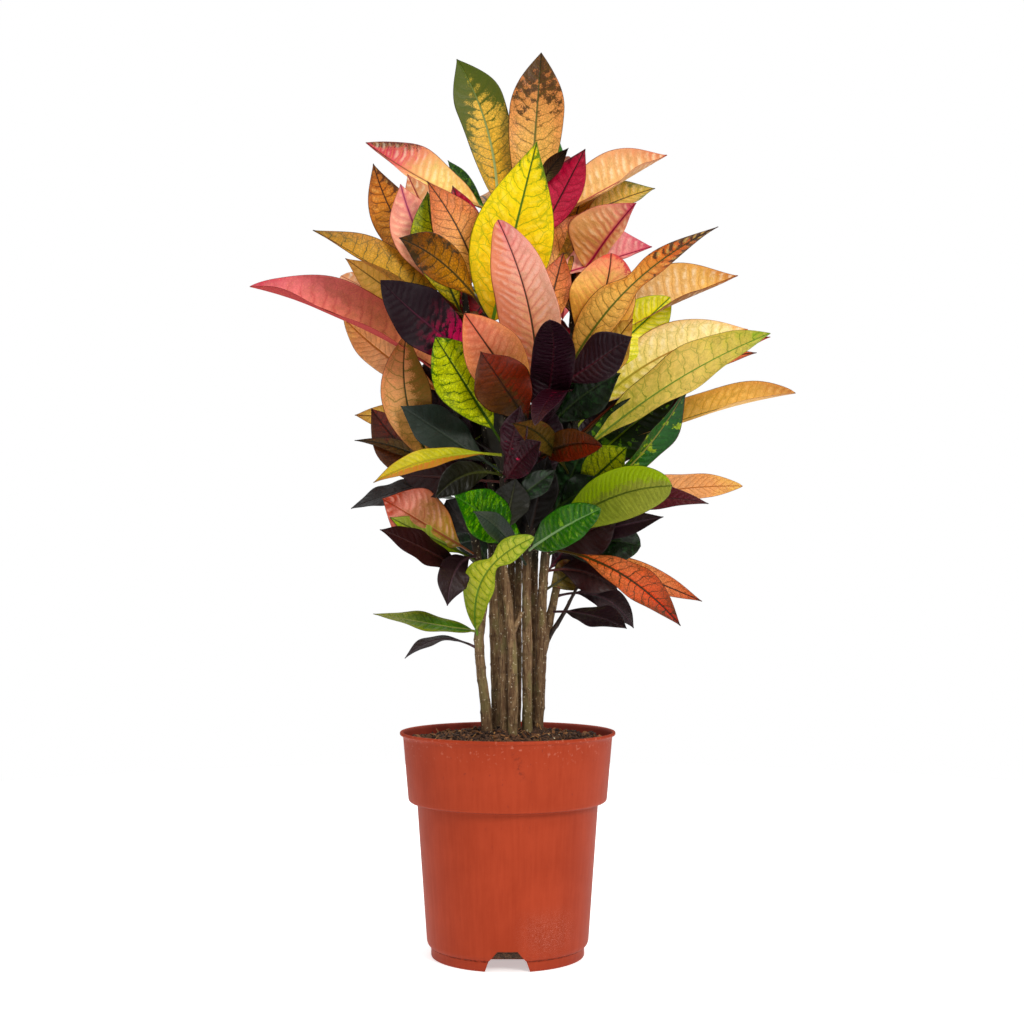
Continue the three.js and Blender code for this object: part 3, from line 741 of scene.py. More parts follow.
def leaf(number, steps, outline, stem, at, tip, stalk, width, turn, arch=0, fold=0.1, sway=0, twist=0):
    """A leaf as rings from its stalk's foot to its tip, `steps` of them in the blade. Its midrib
    runs straight from the stem's axis at height `at` to the tip, raised by arch * length * 4t(1 - t)
    and swayed sideways by sway times the same. The blade is turned about the midrib by
    turn + twist (t - 1/2) degrees, folded up by fold * half width * |x|^1.5, and its margin waves
    by RUFFLE. Its outline is sin(pi/2 * share)^power, where the share rises from 0 at the blade's
    foot to 1 at its belly and falls to 0 at the tip, less a dip of the waist's depth round the
    waist's place. The ring goes over the top from one margin to the other, and back under it."""
    draw = np.random.default_rng(1000 + number)
    belly, foot_power, tip_power, waist, waist_at = (*outline, *COMMON_OUTLINE[len(outline):])
    foot = stem_axis(STEMS[stem][0], at)[0]
    chord = np.array(tip, float) - foot
    length = np.linalg.norm(chord)
    run = np.hypot(chord[0], chord[1])
    out = np.array([chord[0], chord[1], 0]) / run
    level = np.array([-out[1], out[0], 0])
    lift = (np.array([0, 0, run]) - chord[2] * out) / length
    bow = lift * arch + level * sway

    # The rings are closer together towards the tip and the foot of the blade.
    bare = stalk / length
    u = np.linspace(0, 1, steps)
    v = 0.55 * u + 0.45 * (1 - np.cos(np.pi * u)) / 2
    bare_rings = np.linspace(STALK_START / length, bare, STALK_RINGS + 1)[:-1]
    t = np.concatenate([bare_rings, bare + (1 - bare) * v])
    middle = foot + chord * t[:, None] + bow * (length * 4 * t * (1 - t))[:, None]
    along = unit(chord + bow * (length * 4 * (1 - 2 * t))[:, None])
    side = unit(level - along * (along @ level)[:, None])
    up = np.cross(along, side)
    angle = np.radians(turn + twist * (t - 0.5))[:, None]
    side, up = side * np.cos(angle) + up * np.sin(angle), up * np.cos(angle) - side * np.sin(angle)

    blade = (t - bare) / (1 - bare)
    v = np.clip(blade, 0, 1)
    share = np.where(v < belly, v / belly, (1 - v) / (1 - belly))
    reach = width / 2 * np.sin(np.pi / 2 * share) ** np.where(v < belly, foot_power, tip_power)
    reach *= 1 - waist * np.exp(-((v - waist_at) / WAIST_LENGTH) ** 2)
    taper = 1 - 0.7 * v
    swell = np.clip(1 - (t * length - STALK_START) / SWELL_LENGTH, 0, 1) ** 2
    rib = STALK_RADIUS * taper * (1 + SWELL * swell)
    half = np.hypot(rib, reach)[:, None]
    flat = eased(np.clip(v * 5, 0, 1))[:, None]
    v = v[:, None]

    # Across the ring, x is -1 and 1 at the margins, and `over` is 1 on the top and -1 below.
    x = np.concatenate([ACROSS[::-1], -ACROSS[1:], -ACROSS[-2:0:-1], ACROSS[:-1]])
    top = 2 * len(ACROSS) - 1
    over = np.concatenate([np.ones(top), -np.ones(len(x) - top)])
    over[[0, top - 1]] = 0
    across = half * x
    edge = np.sqrt(np.clip(1 - x ** 2, 0, 1))
    keel = np.exp(-(across / KEEL) ** 2) * taper[:, None]
    thick = rib[:, None] * (1 - flat) * edge + flat * BLADE_HALF * edge ** 0.5
    rise = over * thick - flat * keel * np.where(over < 0, 1.0, 0.25)
    waves = draw.uniform(1.6, 3.2) * v + np.where(x > 0, 0.0, 0.37)
    waves = np.sin(2 * np.pi * waves + draw.uniform(0, 6))
    rise = rise + RUFFLE * waves * x ** 2 * np.sin(np.pi * v) ** 0.5 * np.minimum(half / 20, 1)
    rise = rise + fold * half * np.abs(x) ** 1.5 * (1 + 0.15 * np.sin(7 * v + draw.uniform(0, 6)))
    rings = middle[:, None] + side[:, None] * across[..., None] + up[:, None] * rise[..., None]

    def field(*values):
        """One number or more at every point of the rings."""
        return np.stack([np.broadcast_to(value, across.shape) for value in values], -1)

    return skin(
        f"croton_leaf_{number:02d}", placed(rings),
        blade=field(x, blade[:, None], np.where(over < 0, 1.0, 0.0)),
        span=field(across, (t * length - stalk)[:, None], half), own=field(draw.random()),
    )


LOOKS = {}


def leaf_finish(name, slot, run, rib, vein, line, edge=None, patch=None, halo=None, streak=None, spots=None,
                dust=None, pitch=8, lean=0.5, wide=1.3, net=0.3, quilt=0.5, pale=0.3, gloss=0.42, shine=0,
                mirror=0.22):
    """A leaf's colouring, all of it drawn along and across the blade, and entered in LOOKS with the
    name of its slot.
    run: colours from the blade's foot to its tip. rib: the midrib's colour at foot and tip.
    vein: the veins' colour and strength. line: the fine line round the margin.
    edge: colour, strength and start of a tint towards the margin. patch: a second colour, and how
    much it gains towards the tip, the margin, the veins, in clouds and to one side, and where it
    starts. halo: colour, width in mm and strength of the stain beside the midrib. streak:
    colour and strength of a painted highlight, pale bars between the veins where the quilted skin
    would catch the lamps. spots and dust: colour and amount of freckles and of fine grains. pitch:
    mm from one side vein to the next. lean: how far a side vein climbs for each mm across. wide:
    about half the midrib's width in mm at the blade's foot.
    net: strength of the smallest veins. quilt: how much the skin swells between the veins. pale:
    how much paler the underside is. gloss: roughness. shine: strength of the waxy coat. mirror:
    how strongly the skin under the coat reflects."""
    finish, start = new_finish("leaf_" + name)
    x, v, under = start.node("Attribute", out=1, attribute_name="blade").parts()
    across, along, half = start.node("Attribute", out=1, attribute_name="span").parts()
    own = start.node("Attribute", out=2, attribute_name="own")
    sheet = start.node("CombineXYZ", {0: across, 1: along, 2: own * 400})
    out = abs(x)
    away = abs(across)

    wander = sheet.noise(0.05, 1, 0.5) - 0.5
    clouds = sheet.noise(0.13, 3, 0.6)
    fine = sheet.noise(0.9, 2, 0.6)
    # The side veins: lines of equal phase that climb across the blade and bow up at the margin,
    # on one side half a step above those of the other, and joined by scallops inside the margin.
    right = start.maths("GREATER_THAN", across, 0.0)
    phase = (along - away * lean) / pitch - out ** 4 * 0.75 + right * 0.5
    phase = phase + wander + (clouds - 0.5) * 0.6 + own * 5
    gap = abs(phase.share() - 0.5)
    distance = gap * (pitch * 0.87)
    width = 0.58 - out * 0.2 + (fine - 0.5) * 0.5
    side_vein = (distance / width).rise(1.25, 0.4) * out.rise(0.92, 0.72) * clouds.rise(0.22, 0.48)
    scallop = abs(out - (0.7 + gap * 0.35 + (clouds - 0.5) * 0.35)) * half
    scallop = scallop.rise(0.5, 0.1) * 0.6 * v.rise(0.03, 0.12)
    forks = sheet.cells(1.15 / pitch).rise(0.05, 0.015) * out.rise(0.3, 0.6) * 0.6
    between = ((0.5 - gap) * pitch).rise(0.35, 0.1) * out.rise(0.7, 0.25) * 0.3
    blade = v.rise(0.0, 0.06)
    veins = side_vein.higher(scallop).higher(forks).higher(between) * blade
    near = distance.rise(2.4, 0.2) * blade
    smallest = sheet.cells(0.34).rise(0.16, 0.03) * blade

    # The skin, from its ground colour to the stains on it.
    level = v + (clouds - 0.5) * 0.3 + (out - 0.5) * 0.06
    tone = (clouds * 0.65 + fine * 0.35 - 0.5) * 1.3 + 1.0 + (own - 0.5) * 0.1
    colour = level.ramp(run).shifted(0.5 + (own - 0.5) * 0.012, 1.0, tone)
    if edge:
        tint, strength, begin = edge
        reach = (out + (clouds - 0.5) * 0.35).rise(begin, begin + 0.4)
        colour = colour.painted(tint, reach * strength)
    if patch:
        tint, to_tip, to_edge, to_vein, cloudy, to_side, least = patch
        field = v * to_tip + out * to_edge + near * to_vein + (clouds - 0.5) * (cloudy * 2) + x * to_side
        field = field + (fine - 0.5) * 0.5
        cover = field.rise(least - 0.07, least + 0.09) * blade
        colour = colour.painted(tint, cover * 0.95)
    # Painted highlight: pale bars between the veins, where the quilted skin would catch the lamps.
    if streak:
        tint, strength = streak
        highlight_bar = (gap * 2).rise(0.3, 0.95) * out.rise(0.05, 0.35) * out.rise(1.0, 0.7) * clouds.rise(0.35, 0.6)
        colour = colour.painted(tint, highlight_bar * strength)
    if halo:
        tint, reach, strength = halo
        stain = away.rise(reach, 0.6) * (0.6 + clouds * 0.8)
        stain = stain.higher(near * out.rise(0.75, 0.1) * 0.55)
        colour = colour.painted(tint, stain * strength)
    # The veins, the freckles, the midrib and the line round the margin, and the dust on top.
    tint, strength = vein
    colour = colour.painted(tint, smallest * net)
    colour = colour.painted(tint, near * clouds.rise(0.3, 0.65) * (0.2 * strength))
    colour = colour.painted(tint, veins * strength)
    if spots:
        tint, amount = spots
        freckle = sheet.noise(0.55, 2, 0.7).rise(0.7 - amount * 0.1, 0.74 - amount * 0.1)
        colour = colour.painted(tint, freckle * 0.85)
    rib_width = (1.1 - v * 0.75) * wide
    middle = (away / rib_width).rise(1.15, 0.7).higher(v.rise(0.02, -0.01))
    colour = (middle * 0.95).blend(colour, v.ramp(((0.1, rib[0]), (0.95, rib[1]))))
    margin = ((1 - out) * half).rise(0.75, 0.25) * blade
    colour = colour.painted(line, margin * 0.85)
    if dust:
        tint, amount = dust
        grains = sheet.noise(0.8, 3, 0.7).rise(0.72 - amount * 0.1, 0.8 - amount * 0.1)
        colour = colour.painted(tint, grains * 0.6)
    colour = colour.shifted(0.5, 1.03, 0.98)
    faded = colour.shifted(0.5, 0.8, 0.92)
    faded = colour.node("Mix", {0: 0.3, 6: faded, 7: paint("#9a9a6a")}, out=2, data_type="RGBA")
    colour = (under * pale).blend(colour, faded)

    # The relief: the skin swells between the veins and dips beside the midrib.
    swell = (gap * 2).rise(0.0, 0.9) * out.rise(1.0, 0.7) * (quilt * 0.45) * (0.5 + clouds)
    swell = swell + clouds * (quilt * 0.9) - smallest * 0.06 + fine * 0.08
    trough = (away / rib_width).rise(2.0, 0.6) * 0.5
    relief = (swell - trough) * (1.0 - under * 1.6)
    coated(start, colour, gloss + (fine - 0.5) * 0.12 + under * 0.15, relief, MM,
           Coat_Weight=shine, Coat_Roughness=0.2, Specular_IOR_Level=mirror)
    LOOKS[name] = (finish, "leaf_" + slot)


leaf_finish(
    "ochre", "ochre", ((0, "#d89628"), (0.3, "#e4aa3a"), (0.62, "#e8b44c"), (0.86, "#a0982c"),
    (1, "#5a6612")), ("#9aa868", "#4c5c14"), ("#46540a", 0.9), "#2c2c0c", edge=("#8a7c1c", 0.35, 0.5),
    patch=("#46520e", 1.1, 0.4, 0.1, 0.4, 0.08, 0.86), pitch=11, lean=0.3, wide=1.5, net=0.35, quilt=0.4)
leaf_finish(
    "amber", "orange", ((0, "#efb456"), (0.4, "#f4bb60"), (0.62, "#e8a058"), (0.8, "#cc7c44"),
    (1, "#a4602c")), ("#7c7c34", "#2c240a"), ("#5c4410", 0.75), "#3c1c0c", edge=("#e08850", 0.4, 0.5),
    patch=("#3c240a", 1, 0, 0.08, 0.6, 0, 0.74), pitch=12, lean=0.55, wide=1.5, quilt=0.4)
leaf_finish(
    "yellow", "yellow", ((0, "#e0ac18"), (0.3, "#f4c61e"), (0.6, "#f9d628"), (0.9, "#ecd020"),
    (1, "#b4b414")), ("#44801e", "#285410"), ("#7c9408", 0.7), "#6c7c0c", edge=("#dcc818", 0.3, 0.6),
    patch=("#3c680c", 0.95, 0.25, 0.1, 0.35, -0.06, 1.04), streak=("#fbe468", 0.4), pitch=13, lean=0.6,
    wide=1.8, net=0.12)
leaf_finish(
    "crimson", "crimson", ((0, "#dc4458"), (0.5, "#cc2c4a"), (0.8, "#bc203c"), (1, "#981c30")),
    ("#2e0a0e", "#1c0608"), ("#7c1024", 0.7), "#3a0a10", patch=("#34060c", 0.8, 0, 0.1, 0.6, 0.25, 0.86),
    streak=("#dc5068", 0.3), pitch=10, lean=0.55, gloss=0.38)
leaf_finish(
    "peach_red", "peach", ((0, "#f4c660"), (0.4, "#f8d880"), (0.54, "#f4b878"), (0.66, "#e06868"),
    (0.8, "#c83454"), (1, "#b82848")), ("#b8904a", "#4a1418"), ("#e0a060", 0.4), "#8c2c30",
    edge=("#ec9468", 0.35, 0.6), patch=("#3c0c14", 1.1, 0.3, 0, 0.35, -0.25, 1.24),
    halo=("#d84058", 3.5, 0.45), streak=("#fff2d0", 0.45), lean=0.35, net=0.12, quilt=0.8)
leaf_finish(
    "orange_veined", "orange", ((0, "#f0ae40"), (0.5, "#eea238"), (0.8, "#d07c2c"), (1, "#8c4c20")),
    ("#4c2c1c", "#2c1810"), ("#5c300c", 0.85), "#3a1c0c", edge=("#b0602a", 0.4, 0.55),
    patch=("#4a260e", 0.9, 0.35, 0.08, 0.5, -0.15, 1.05), streak=("#f6bc64", 0.4), pitch=9, lean=0.2,
    wide=1.2)
leaf_finish(
    "pink_pale", "pink", ((0, "#f8bc80"), (0.5, "#f8ac88"), (0.8, "#f49c88"), (1, "#e08878")),
    ("#b83a6c", "#902c54"), ("#e08468", 0.4), "#a85848", edge=("#f09c78", 0.3, 0.5),
    halo=("#c84c80", 3, 0.5), streak=("#fcd4ac", 0.6), pitch=9, net=0.12, quilt=0.6)
leaf_finish(
    "lime_net", "lime", ((0, "#e4cc1c"), (0.5, "#dccc1c"), (0.85, "#a4b018"), (1, "#5c7410")),
    ("#1c3c08", "#183008"), ("#34540a", 0.9), "#2c3c08", patch=("#3e600c", 0.8, 0.2, 0.1, 0.6, 0, 1),
    pitch=9, net=0.5)
leaf_finish(
    "terracotta", "orange", ((0, "#f0ac50"), (0.35, "#eca458"), (0.65, "#e28650"), (0.9, "#c86038"),
    (1, "#a84824")), ("#2e2008", "#240c06"), ("#70380f", 0.8), "#4c200c", edge=("#c86438", 0.35, 0.55),
    patch=("#8c3c18", 0.6, 0.2, 0.05, 0.6, 0, 0.98), spots=("#5c280c", 0.1), pitch=10, lean=0.6)
leaf_finish(
    "salmon_gold", "salmon", ((0, "#dca44c"), (0.3, "#dc9454"), (0.55, "#d88460"), (0.85, "#cc6c54"),
    (1, "#c05c40")), ("#3c2c10", "#1c100c"), ("#c05c40", 0.5), "#8c3c24", edge=("#f0a05c", 0.4, 0.5),
    halo=("#c83c34", 2.5, 0.35), streak=("#f0a880", 0.3), pitch=9, lean=0.6, quilt=0.3)
leaf_finish(
    "bronze", "bronze", ((0, "#c88a14"), (0.4, "#b07418"), (0.75, "#784614"), (1, "#30200e")),
    ("#3c340c", "#1c180a"), ("#33280a", 0.85), "#2c1408", edge=("#8c440f", 0.5, 0.45),
    patch=("#2e1e0c", 0.8, 0.3, 0.08, 0.75, 0, 0.84), pitch=10, lean=0.3, net=0.5, quilt=0.6, gloss=0.36,
    shine=0.1)
leaf_finish(
    "bud", "bronze", ((0, "#8c9c3c"), (0.25, "#7c7444"), (0.5, "#4c3420"), (1, "#1c1008")),
    ("#2c1c10", "#1c100a"), ("#1c1008", 0.8), "#1c0c06", pitch=4, lean=1.5)
leaf_finish(
    "olive_orange", "ochre", ((0, "#d09a2c"), (0.4, "#cf9932"), (0.75, "#c48628"), (1, "#8c5c14")),
    ("#2e3808", "#3a2408"), ("#3a4410", 0.9), "#3c200c", edge=("#c4742c", 0.35, 0.55),
    patch=("#5c5a14", 0.3, 0.1, 0.1, 0.6, 0, 0.84), streak=("#e2ae4c", 0.4), pitch=13, lean=0.15, wide=1.2,
    quilt=0.7)
leaf_finish(
    "salmon", "salmon", ((0, "#eca068"), (0.3, "#ea9668"), (0.55, "#e88870"), (0.85, "#e4807c"),
    (1, "#c8505a")), ("#3c140c", "#4c1010"), ("#b84444", 0.3), "#8c2c28", edge=("#d05458", 0.35, 0.65),
    patch=("#a84848", 0, 0, 0, 0.1, 1, 0.08), halo=("#a42c34", 2, 0.5), spots=("#f4a468", 0.5), pitch=13,
    lean=0.3, net=0.12, pale=0, mirror=0)
leaf_finish(
    "tan", "tan", ((0, "#bc8038"), (0.5, "#ca8e56"), (0.8, "#ce7e56"), (1, "#b85c34")),
    ("#24340c", "#2c2c0c"), ("#5a5818", 0.65), "#5c2814", edge=("#c86848", 0.35, 0.6),
    patch=("#7c5420", 0, 0, 0.05, 0.25, -0.6, 0.2), pitch=11, lean=0.1, net=0.12)
leaf_finish(
    "black_magenta", "black", ((0, "#d4185a"), (0.25, "#b81850"), (0.42, "#4c1224"), (0.58, "#1c0c14"),
    (1, "#160a10")), ("#5a1834", "#1c0c14"), ("#10040a", 0.6), "#140608",
    patch=("#1a0812", 0.9, 0, 0.2, 0.9, 0, 0.46), dust=("#a8909c", 0.2), pitch=7, lean=0.35, net=0.1,
    quilt=0.6, pale=0.1, gloss=0.5, mirror=0.12)
leaf_finish(
    "pink", "pink", ((0, "#e89460"), (0.35, "#f6a67c"), (0.62, "#fab298"), (0.88, "#f29690"),
    (1, "#e0707c")), ("#3c3c0c", "#2c1410"), ("#dc6c58", 0.5), "#a03c30", edge=("#f8bca8", 0.35, 0.45),
    patch=("#ee9068", 0, 0, 0, 0.4, 0.5, 0.15), halo=("#dc4860", 2.6, 0.45), streak=("#fcccb8", 0.5),
    pitch=9, lean=0.7, wide=1.2, net=0.1, quilt=0.4)
leaf_finish(
    "rose", "pink", ((0, "#f4b490"), (0.5, "#f8b4a4"), (0.8, "#f09498"), (1, "#cc3c64")),
    ("#b81c50", "#8c1038"), ("#e0707c", 0.4), "#a81c44", edge=("#dc6078", 0.35, 0.65),
    halo=("#cc2c60", 3.5, 0.5), streak=("#fcd8c8", 0.6), net=0.12)
leaf_finish(
    "lime", "lime", ((0, "#909c04"), (0.4, "#aeb604"), (0.8, "#b2be06"), (1, "#749404")),
    ("#1c3c06", "#1c3c06"), ("#28480a", 0.9), "#3c5408", edge=("#7c9c08", 0.4, 0.55),
    patch=("#346004", 0.35, 0.1, 0.12, 1, 0, 0.58), streak=("#e4e84c", 0.4), pitch=10, lean=0.4, wide=1.7,
    net=0.4, quilt=0.6, gloss=0.36, mirror=0.12)
leaf_finish(
    "peach", "peach", ((0, "#e8ae58"), (0.45, "#f4c47a"), (0.8, "#f6b880"), (1, "#e08464")),
    ("#c04850", "#a02c40"), ("#d88c58", 0.35), "#a8584c", edge=("#e48868", 0.35, 0.6),
    streak=("#fdeac0", 0.7), lean=0.35, net=0.1, quilt=0.8)
leaf_finish(
    "cream_streak", "cream", ((0, "#f4d8a8"), (0.5, "#f6cc9c"), (0.8, "#f4bc84"), (1, "#f0a470")),
    ("#c84858", "#a83848"), ("#e0a068", 0.35), "#a86448", edge=("#ec9c68", 0.35, 0.6),
    streak=("#fff8e4", 0.9), pitch=7, lean=0.3, net=0.1, quilt=0.8)
leaf_finish(
    "peach_speckled", "peach", ((0, "#e8a44c"), (0.5, "#f0bc64"), (0.8, "#e8b850"), (1, "#a08c30")),
    ("#5c602c", "#4c300c"), ("#84842c", 0.6), "#4c3c10", patch=("#68702a", 0.8, 0.6, 0.05, 0.5, 0, 1.15),
    streak=("#fce0a4", 0.5), spots=("#74641c", 0.2), lean=0.4, quilt=0.6)
leaf_finish(
    "peach_pink", "pink", ((0, "#e0a45c"), (0.5, "#e8aa6a"), (0.75, "#eea480"), (0.9, "#e06c7c"),
    (1, "#c42850")), ("#a81848", "#7c1034"), ("#d08450", 0.35), "#b8484c", edge=("#e88c6c", 0.35, 0.65),
    halo=("#d02c64", 4.5, 0.75), streak=("#fde0b4", 0.6), pitch=7, lean=0.25, net=0.08, quilt=0.7)
leaf_finish(
    "peach_flame", "peach", ((0, "#dca03c"), (0.4, "#f0b454"), (0.7, "#f4bc6c"), (0.88, "#f09c70"),
    (1, "#e04c48")), ("#1c3008", "#14140a"), ("#dc5c48", 0.35), "#8c4c34",
    patch=("#c8404a", 0.8, 0.1, 0.05, 0.5, -0.4, 1.06), halo=("#e05450", 4, 0.4), spots=("#6c1010", 0),
    pitch=9, lean=0.8, net=0.1, quilt=0.4)
leaf_finish(
    "orange_tip", "orange", ((0, "#f0ba5c"), (0.35, "#f0b65c"), (0.5, "#dc9444"), (0.7, "#cc5c20"),
    (1, "#4c1406")), ("#5c7424", "#1c0c04"), ("#5c3c0c", 0.65), "#3c1808", edge=("#c8642c", 0.35, 0.6),
    patch=("#2c0c04", 1.2, 0.1, 0.1, 0.8, 0, 0.98), streak=("#f6c468", 0.5), pitch=9, lean=0.25, net=0.15,
    gloss=0.38)
leaf_finish(
    "black_maroon", "black", ((0, "#260812"), (0.5, "#220a14"), (1, "#1a0810")), ("#44121f", "#200810"),
    ("#0c0206", 0.5), "#34181f", dust=("#b898a0", 0.35), pitch=6, lean=0.45, net=0.1, quilt=0.8, pale=0.1,
    gloss=0.32, shine=0.15)
leaf_finish(
    "peach_edge", "peach", ((0, "#fad8b0"), (0.4, "#f8ca8a"), (0.8, "#eeb860"), (1, "#c06c30")),
    ("#8c3410", "#7c2810"), ("#c07c38", 0.45), "#6c2c10", edge=("#d08444", 0.35, 0.65),
    patch=("#8c4418", 0, 0, 0, 0.1, -1, 0.06), streak=("#fcecc8", 0.6), pitch=9, lean=0.25, net=0.15,
    quilt=0.6)
leaf_finish(
    "lemon", "lime", ((0, "#ccc824"), (0.5, "#f2e634"), (0.8, "#ece624"), (1, "#e4e014")),
    ("#3c7c14", "#2c7c0c"), ("#88a414", 0.55), "#6c7c10", edge=("#c0d010", 0.35, 0.6),
    streak=("#fcf68c", 0.7), lean=0.7, net=0.08, quilt=0.6)
leaf_finish(
    "cream", "cream", ((0, "#b8ac28"), (0.2, "#d8c850"), (0.5, "#fae090"), (0.85, "#fde29c"),
    (1, "#f4985c")), ("#8c9c2c", "#d06030"), ("#a89c2c", 0.55), "#b87444", edge=("#f4b884", 0.4, 0.6),
    streak=("#fff6d0", 0.5), spots=("#a81018", -0.3), pitch=11, lean=0.3, net=0.12, quilt=0.4)
leaf_finish(
    "gold_olive", "yellow", ((0, "#b4bc30"), (0.2, "#d4c854"), (0.6, "#e8ca6c"), (0.85, "#ccbc4c"),
    (1, "#84a820")), ("#74943c", "#5c8c24"), ("#5c7c18", 0.65), "#6c6420", edge=("#d4ac50", 0.3, 0.6),
    streak=("#f0d074", 0.5), pitch=15, lean=0.1, wide=1.5, net=0.08)
leaf_finish(
    "gold", "gold", ((0, "#dcb838"), (0.4, "#f0c452"), (0.8, "#eab454"), (1, "#b87038")),
    ("#7c8420", "#7c4814"), ("#a87c1c", 0.5), "#6c4014", edge=("#d88c48", 0.35, 0.6),
    streak=("#facf74", 0.4), pitch=9, lean=0.6, net=0.12)
leaf_finish(
    "olive", "olive", ((0, "#74841c"), (0.4, "#84942c"), (0.7, "#949c38"), (1, "#8c9438")),
    ("#4c5c14", "#4c5c14"), ("#5c6c1c", 0.3), "#3c4010", patch=("#98b414", -0.2, 0, 0, 0.3, 0.6, 0.05),
    pitch=6, net=0.1)
leaf_finish(
    "wine", "crimson", ((0, "#d81c40"), (0.25, "#b8142c"), (0.42, "#64161f"), (0.6, "#54161e"),
    (1, "#4c1420")), ("#340c10", "#340c10"), ("#400a10", 0.6), "#2c0c10", dust=("#c8b8b0", 0.3), pitch=7,
    quilt=0.6, pale=0.15, gloss=0.36, shine=0.1)
leaf_finish(
    "peach_lower", "peach", ((0, "#e09850"), (0.5, "#f2b47c"), (0.8, "#f0ac6c"), (1, "#e8bc60")),
    ("#b05c24", "#b86c24"), ("#a85c28", 0.55), "#7c3410", pitch=7, lean=0.8, net=0.12)
leaf_finish(
    "green_dark", "green", ((0, "#0e2008"), (0.5, "#0c1e08"), (0.8, "#12200a"), (1, "#16200c")),
    ("#2c4014", "#1c2c10"), ("#050a03", 0.5), "#141c0c", patch=("#1c3c18", 0, 0, 0, 1, 0, 0.12),
    dust=("#90a080", 0.25), pitch=9, lean=0.4, net=0.25, quilt=1, pale=0.12, gloss=0.3, shine=0.25)
leaf_finish(
    "slate", "slate", ((0, "#121c0a"), (0.4, "#1a261c"), (0.75, "#253029"), (1, "#29332d")),
    ("#283424", "#343c34"), ("#141c14", 0.4), "#2c302c", dust=("#c8a898", 0.2), lean=0.4, net=0.08,
    quilt=0.35, pale=0.15)
leaf_finish(
    "strap", "yellow", ((0, "#8c9c0c"), (0.4, "#b0a80e"), (0.75, "#bca810"), (1, "#bc8c10")),
    ("#a0a82c", "#98701c"), ("#8c8c10", 0.5), "#5c3c10", edge=("#c0502c", 0.4, 0.75),
    patch=("#b4682c", -0.1, 0, 0, 0.2, 0.9, 0.1), pitch=7, net=0.15)
leaf_finish(
    "black", "black", ((0, "#0e0705"), (0.5, "#100a08"), (1, "#120e0c")), ("#281a16", "#1a1210"),
    ("#060302", 0.4), "#1c1614", dust=("#a09088", 0.2), lean=0.4, net=0.1, pale=0.1)
leaf_finish(
    "black_olive", "black", ((0, "#2c3010"), (0.3, "#1c1c0a"), (0.6, "#151509"), (1, "#14120c")),
    ("#3c4018", "#222210"), ("#0a0a04", 0.4), "#1c1c16", dust=("#a09c88", 0.15), pitch=7, lean=0.4,
    net=0.15, quilt=0.6, pale=0.12, gloss=0.4)
leaf_finish(
    "maroon", "maroon", ((0, "#1c0807"), (0.5, "#28090a"), (1, "#260c0e")), ("#4c2420", "#301414"),
    ("#1a0605", 0.4), "#180808", dust=("#a86050", 0), net=0.08, pale=0.15)
leaf_finish(
    "lime_pale", "lime", ((0, "#848c20"), (0.25, "#a8aa2c"), (0.6, "#b8b438"), (0.85, "#acb03a"),
    (1, "#8c9c30")), ("#5c8424", "#6c8424"), ("#547814", 0.85), "#445010", edge=("#7c9818", 0.45, 0.5),
    streak=("#ccc860", 0.5), spots=("#3c2c10", -0.2), lean=0.05, wide=1.4, net=0.1)
leaf_finish(
    "olive_pale", "olive", ((0, "#3c6c0c"), (0.4, "#4c7410"), (0.7, "#748030"), (1, "#8c8c3c")),
    ("#8c9444", "#8c8c4c"), ("#2c540c", 0.5), "#4c5020", edge=("#8c8c18", 0.6, 0.5), pitch=7, lean=0.4,
    net=0.15, quilt=0.7, pale=0.5)
leaf_finish(
    "purple", "maroon", ((0, "#221014"), (0.5, "#281419"), (1, "#1e1012")), ("#4c3036", "#34202a"),
    ("#1c0c10", 0.4), "#1c1014", dust=("#a08080", 0), net=0.08, quilt=0.4, pale=0.15, gloss=0.44)
leaf_finish(
    "flame", "red", ((0, "#b45c2c"), (0.4, "#d06840"), (0.65, "#cc5030"), (0.85, "#8c2c10"),
    (1, "#4c1408")), ("#2c2c08", "#1c1004"), ("#20240a", 0.95), "#3c1c08", edge=("#8c3810", 0.4, 0.6),
    patch=("#34200a", 0.5, 0.15, 0.2, 0.6, 0, 0.84), halo=("#e8200c", 5, 0.3), pitch=10, lean=0.55,
    wide=1.5, gloss=0.38)
leaf_finish(
    "green", "green", ((0, "#2c6408"), (0.5, "#2f6c08"), (0.8, "#347808"), (1, "#24600a")),
    ("#5c8c3c", "#447824"), ("#0c2c04", 0.6), "#184008", patch=("#64a010", 0, -0.1, -0.1, 1.3, 0, -0.03),
    net=0.6, quilt=1, gloss=0.32, shine=0.1, mirror=0.15)
leaf_finish(
    "green_bright", "green", ((0, "#347010"), (0.5, "#347814"), (0.8, "#2c6c10"), (1, "#246410")),
    ("#a8c890", "#5c8c3c"), ("#0c3404", 0.5), "#184408", patch=("#7cb028", 0, -0.3, 0, 1.4, 0, 0.2),
    streak=("#b0cc50", 0.2), pitch=9, net=0.4, quilt=1.1, gloss=0.3, shine=0.15)
leaf_finish(
    "green_fleck", "green", ((0, "#2c7404"), (0.5, "#0f5c06"), (0.8, "#0a4808"), (1, "#0a3c0c")),
    ("#a8a844", "#5c441c"), ("#042c04", 0.5), "#4c1418", edge=("#0c3410", 0.5, 0.7),
    patch=("#9cb410", -0.3, 0, 0, 1.8, 0, 0.2), quilt=1, gloss=0.34, shine=0.05)
leaf_finish(
    "green_veined", "green", ((0, "#7c9410"), (0.3, "#244808"), (0.6, "#102004"), (1, "#0c1804")),
    ("#94b01c", "#3c5410"), ("#142c04", 0.5), "#142408", patch=("#5c8c10", -0.5, 0, 0, 2, 0, 0.1), pitch=9,
    quilt=0.9, pale=0.12, gloss=0.34, shine=0.05)
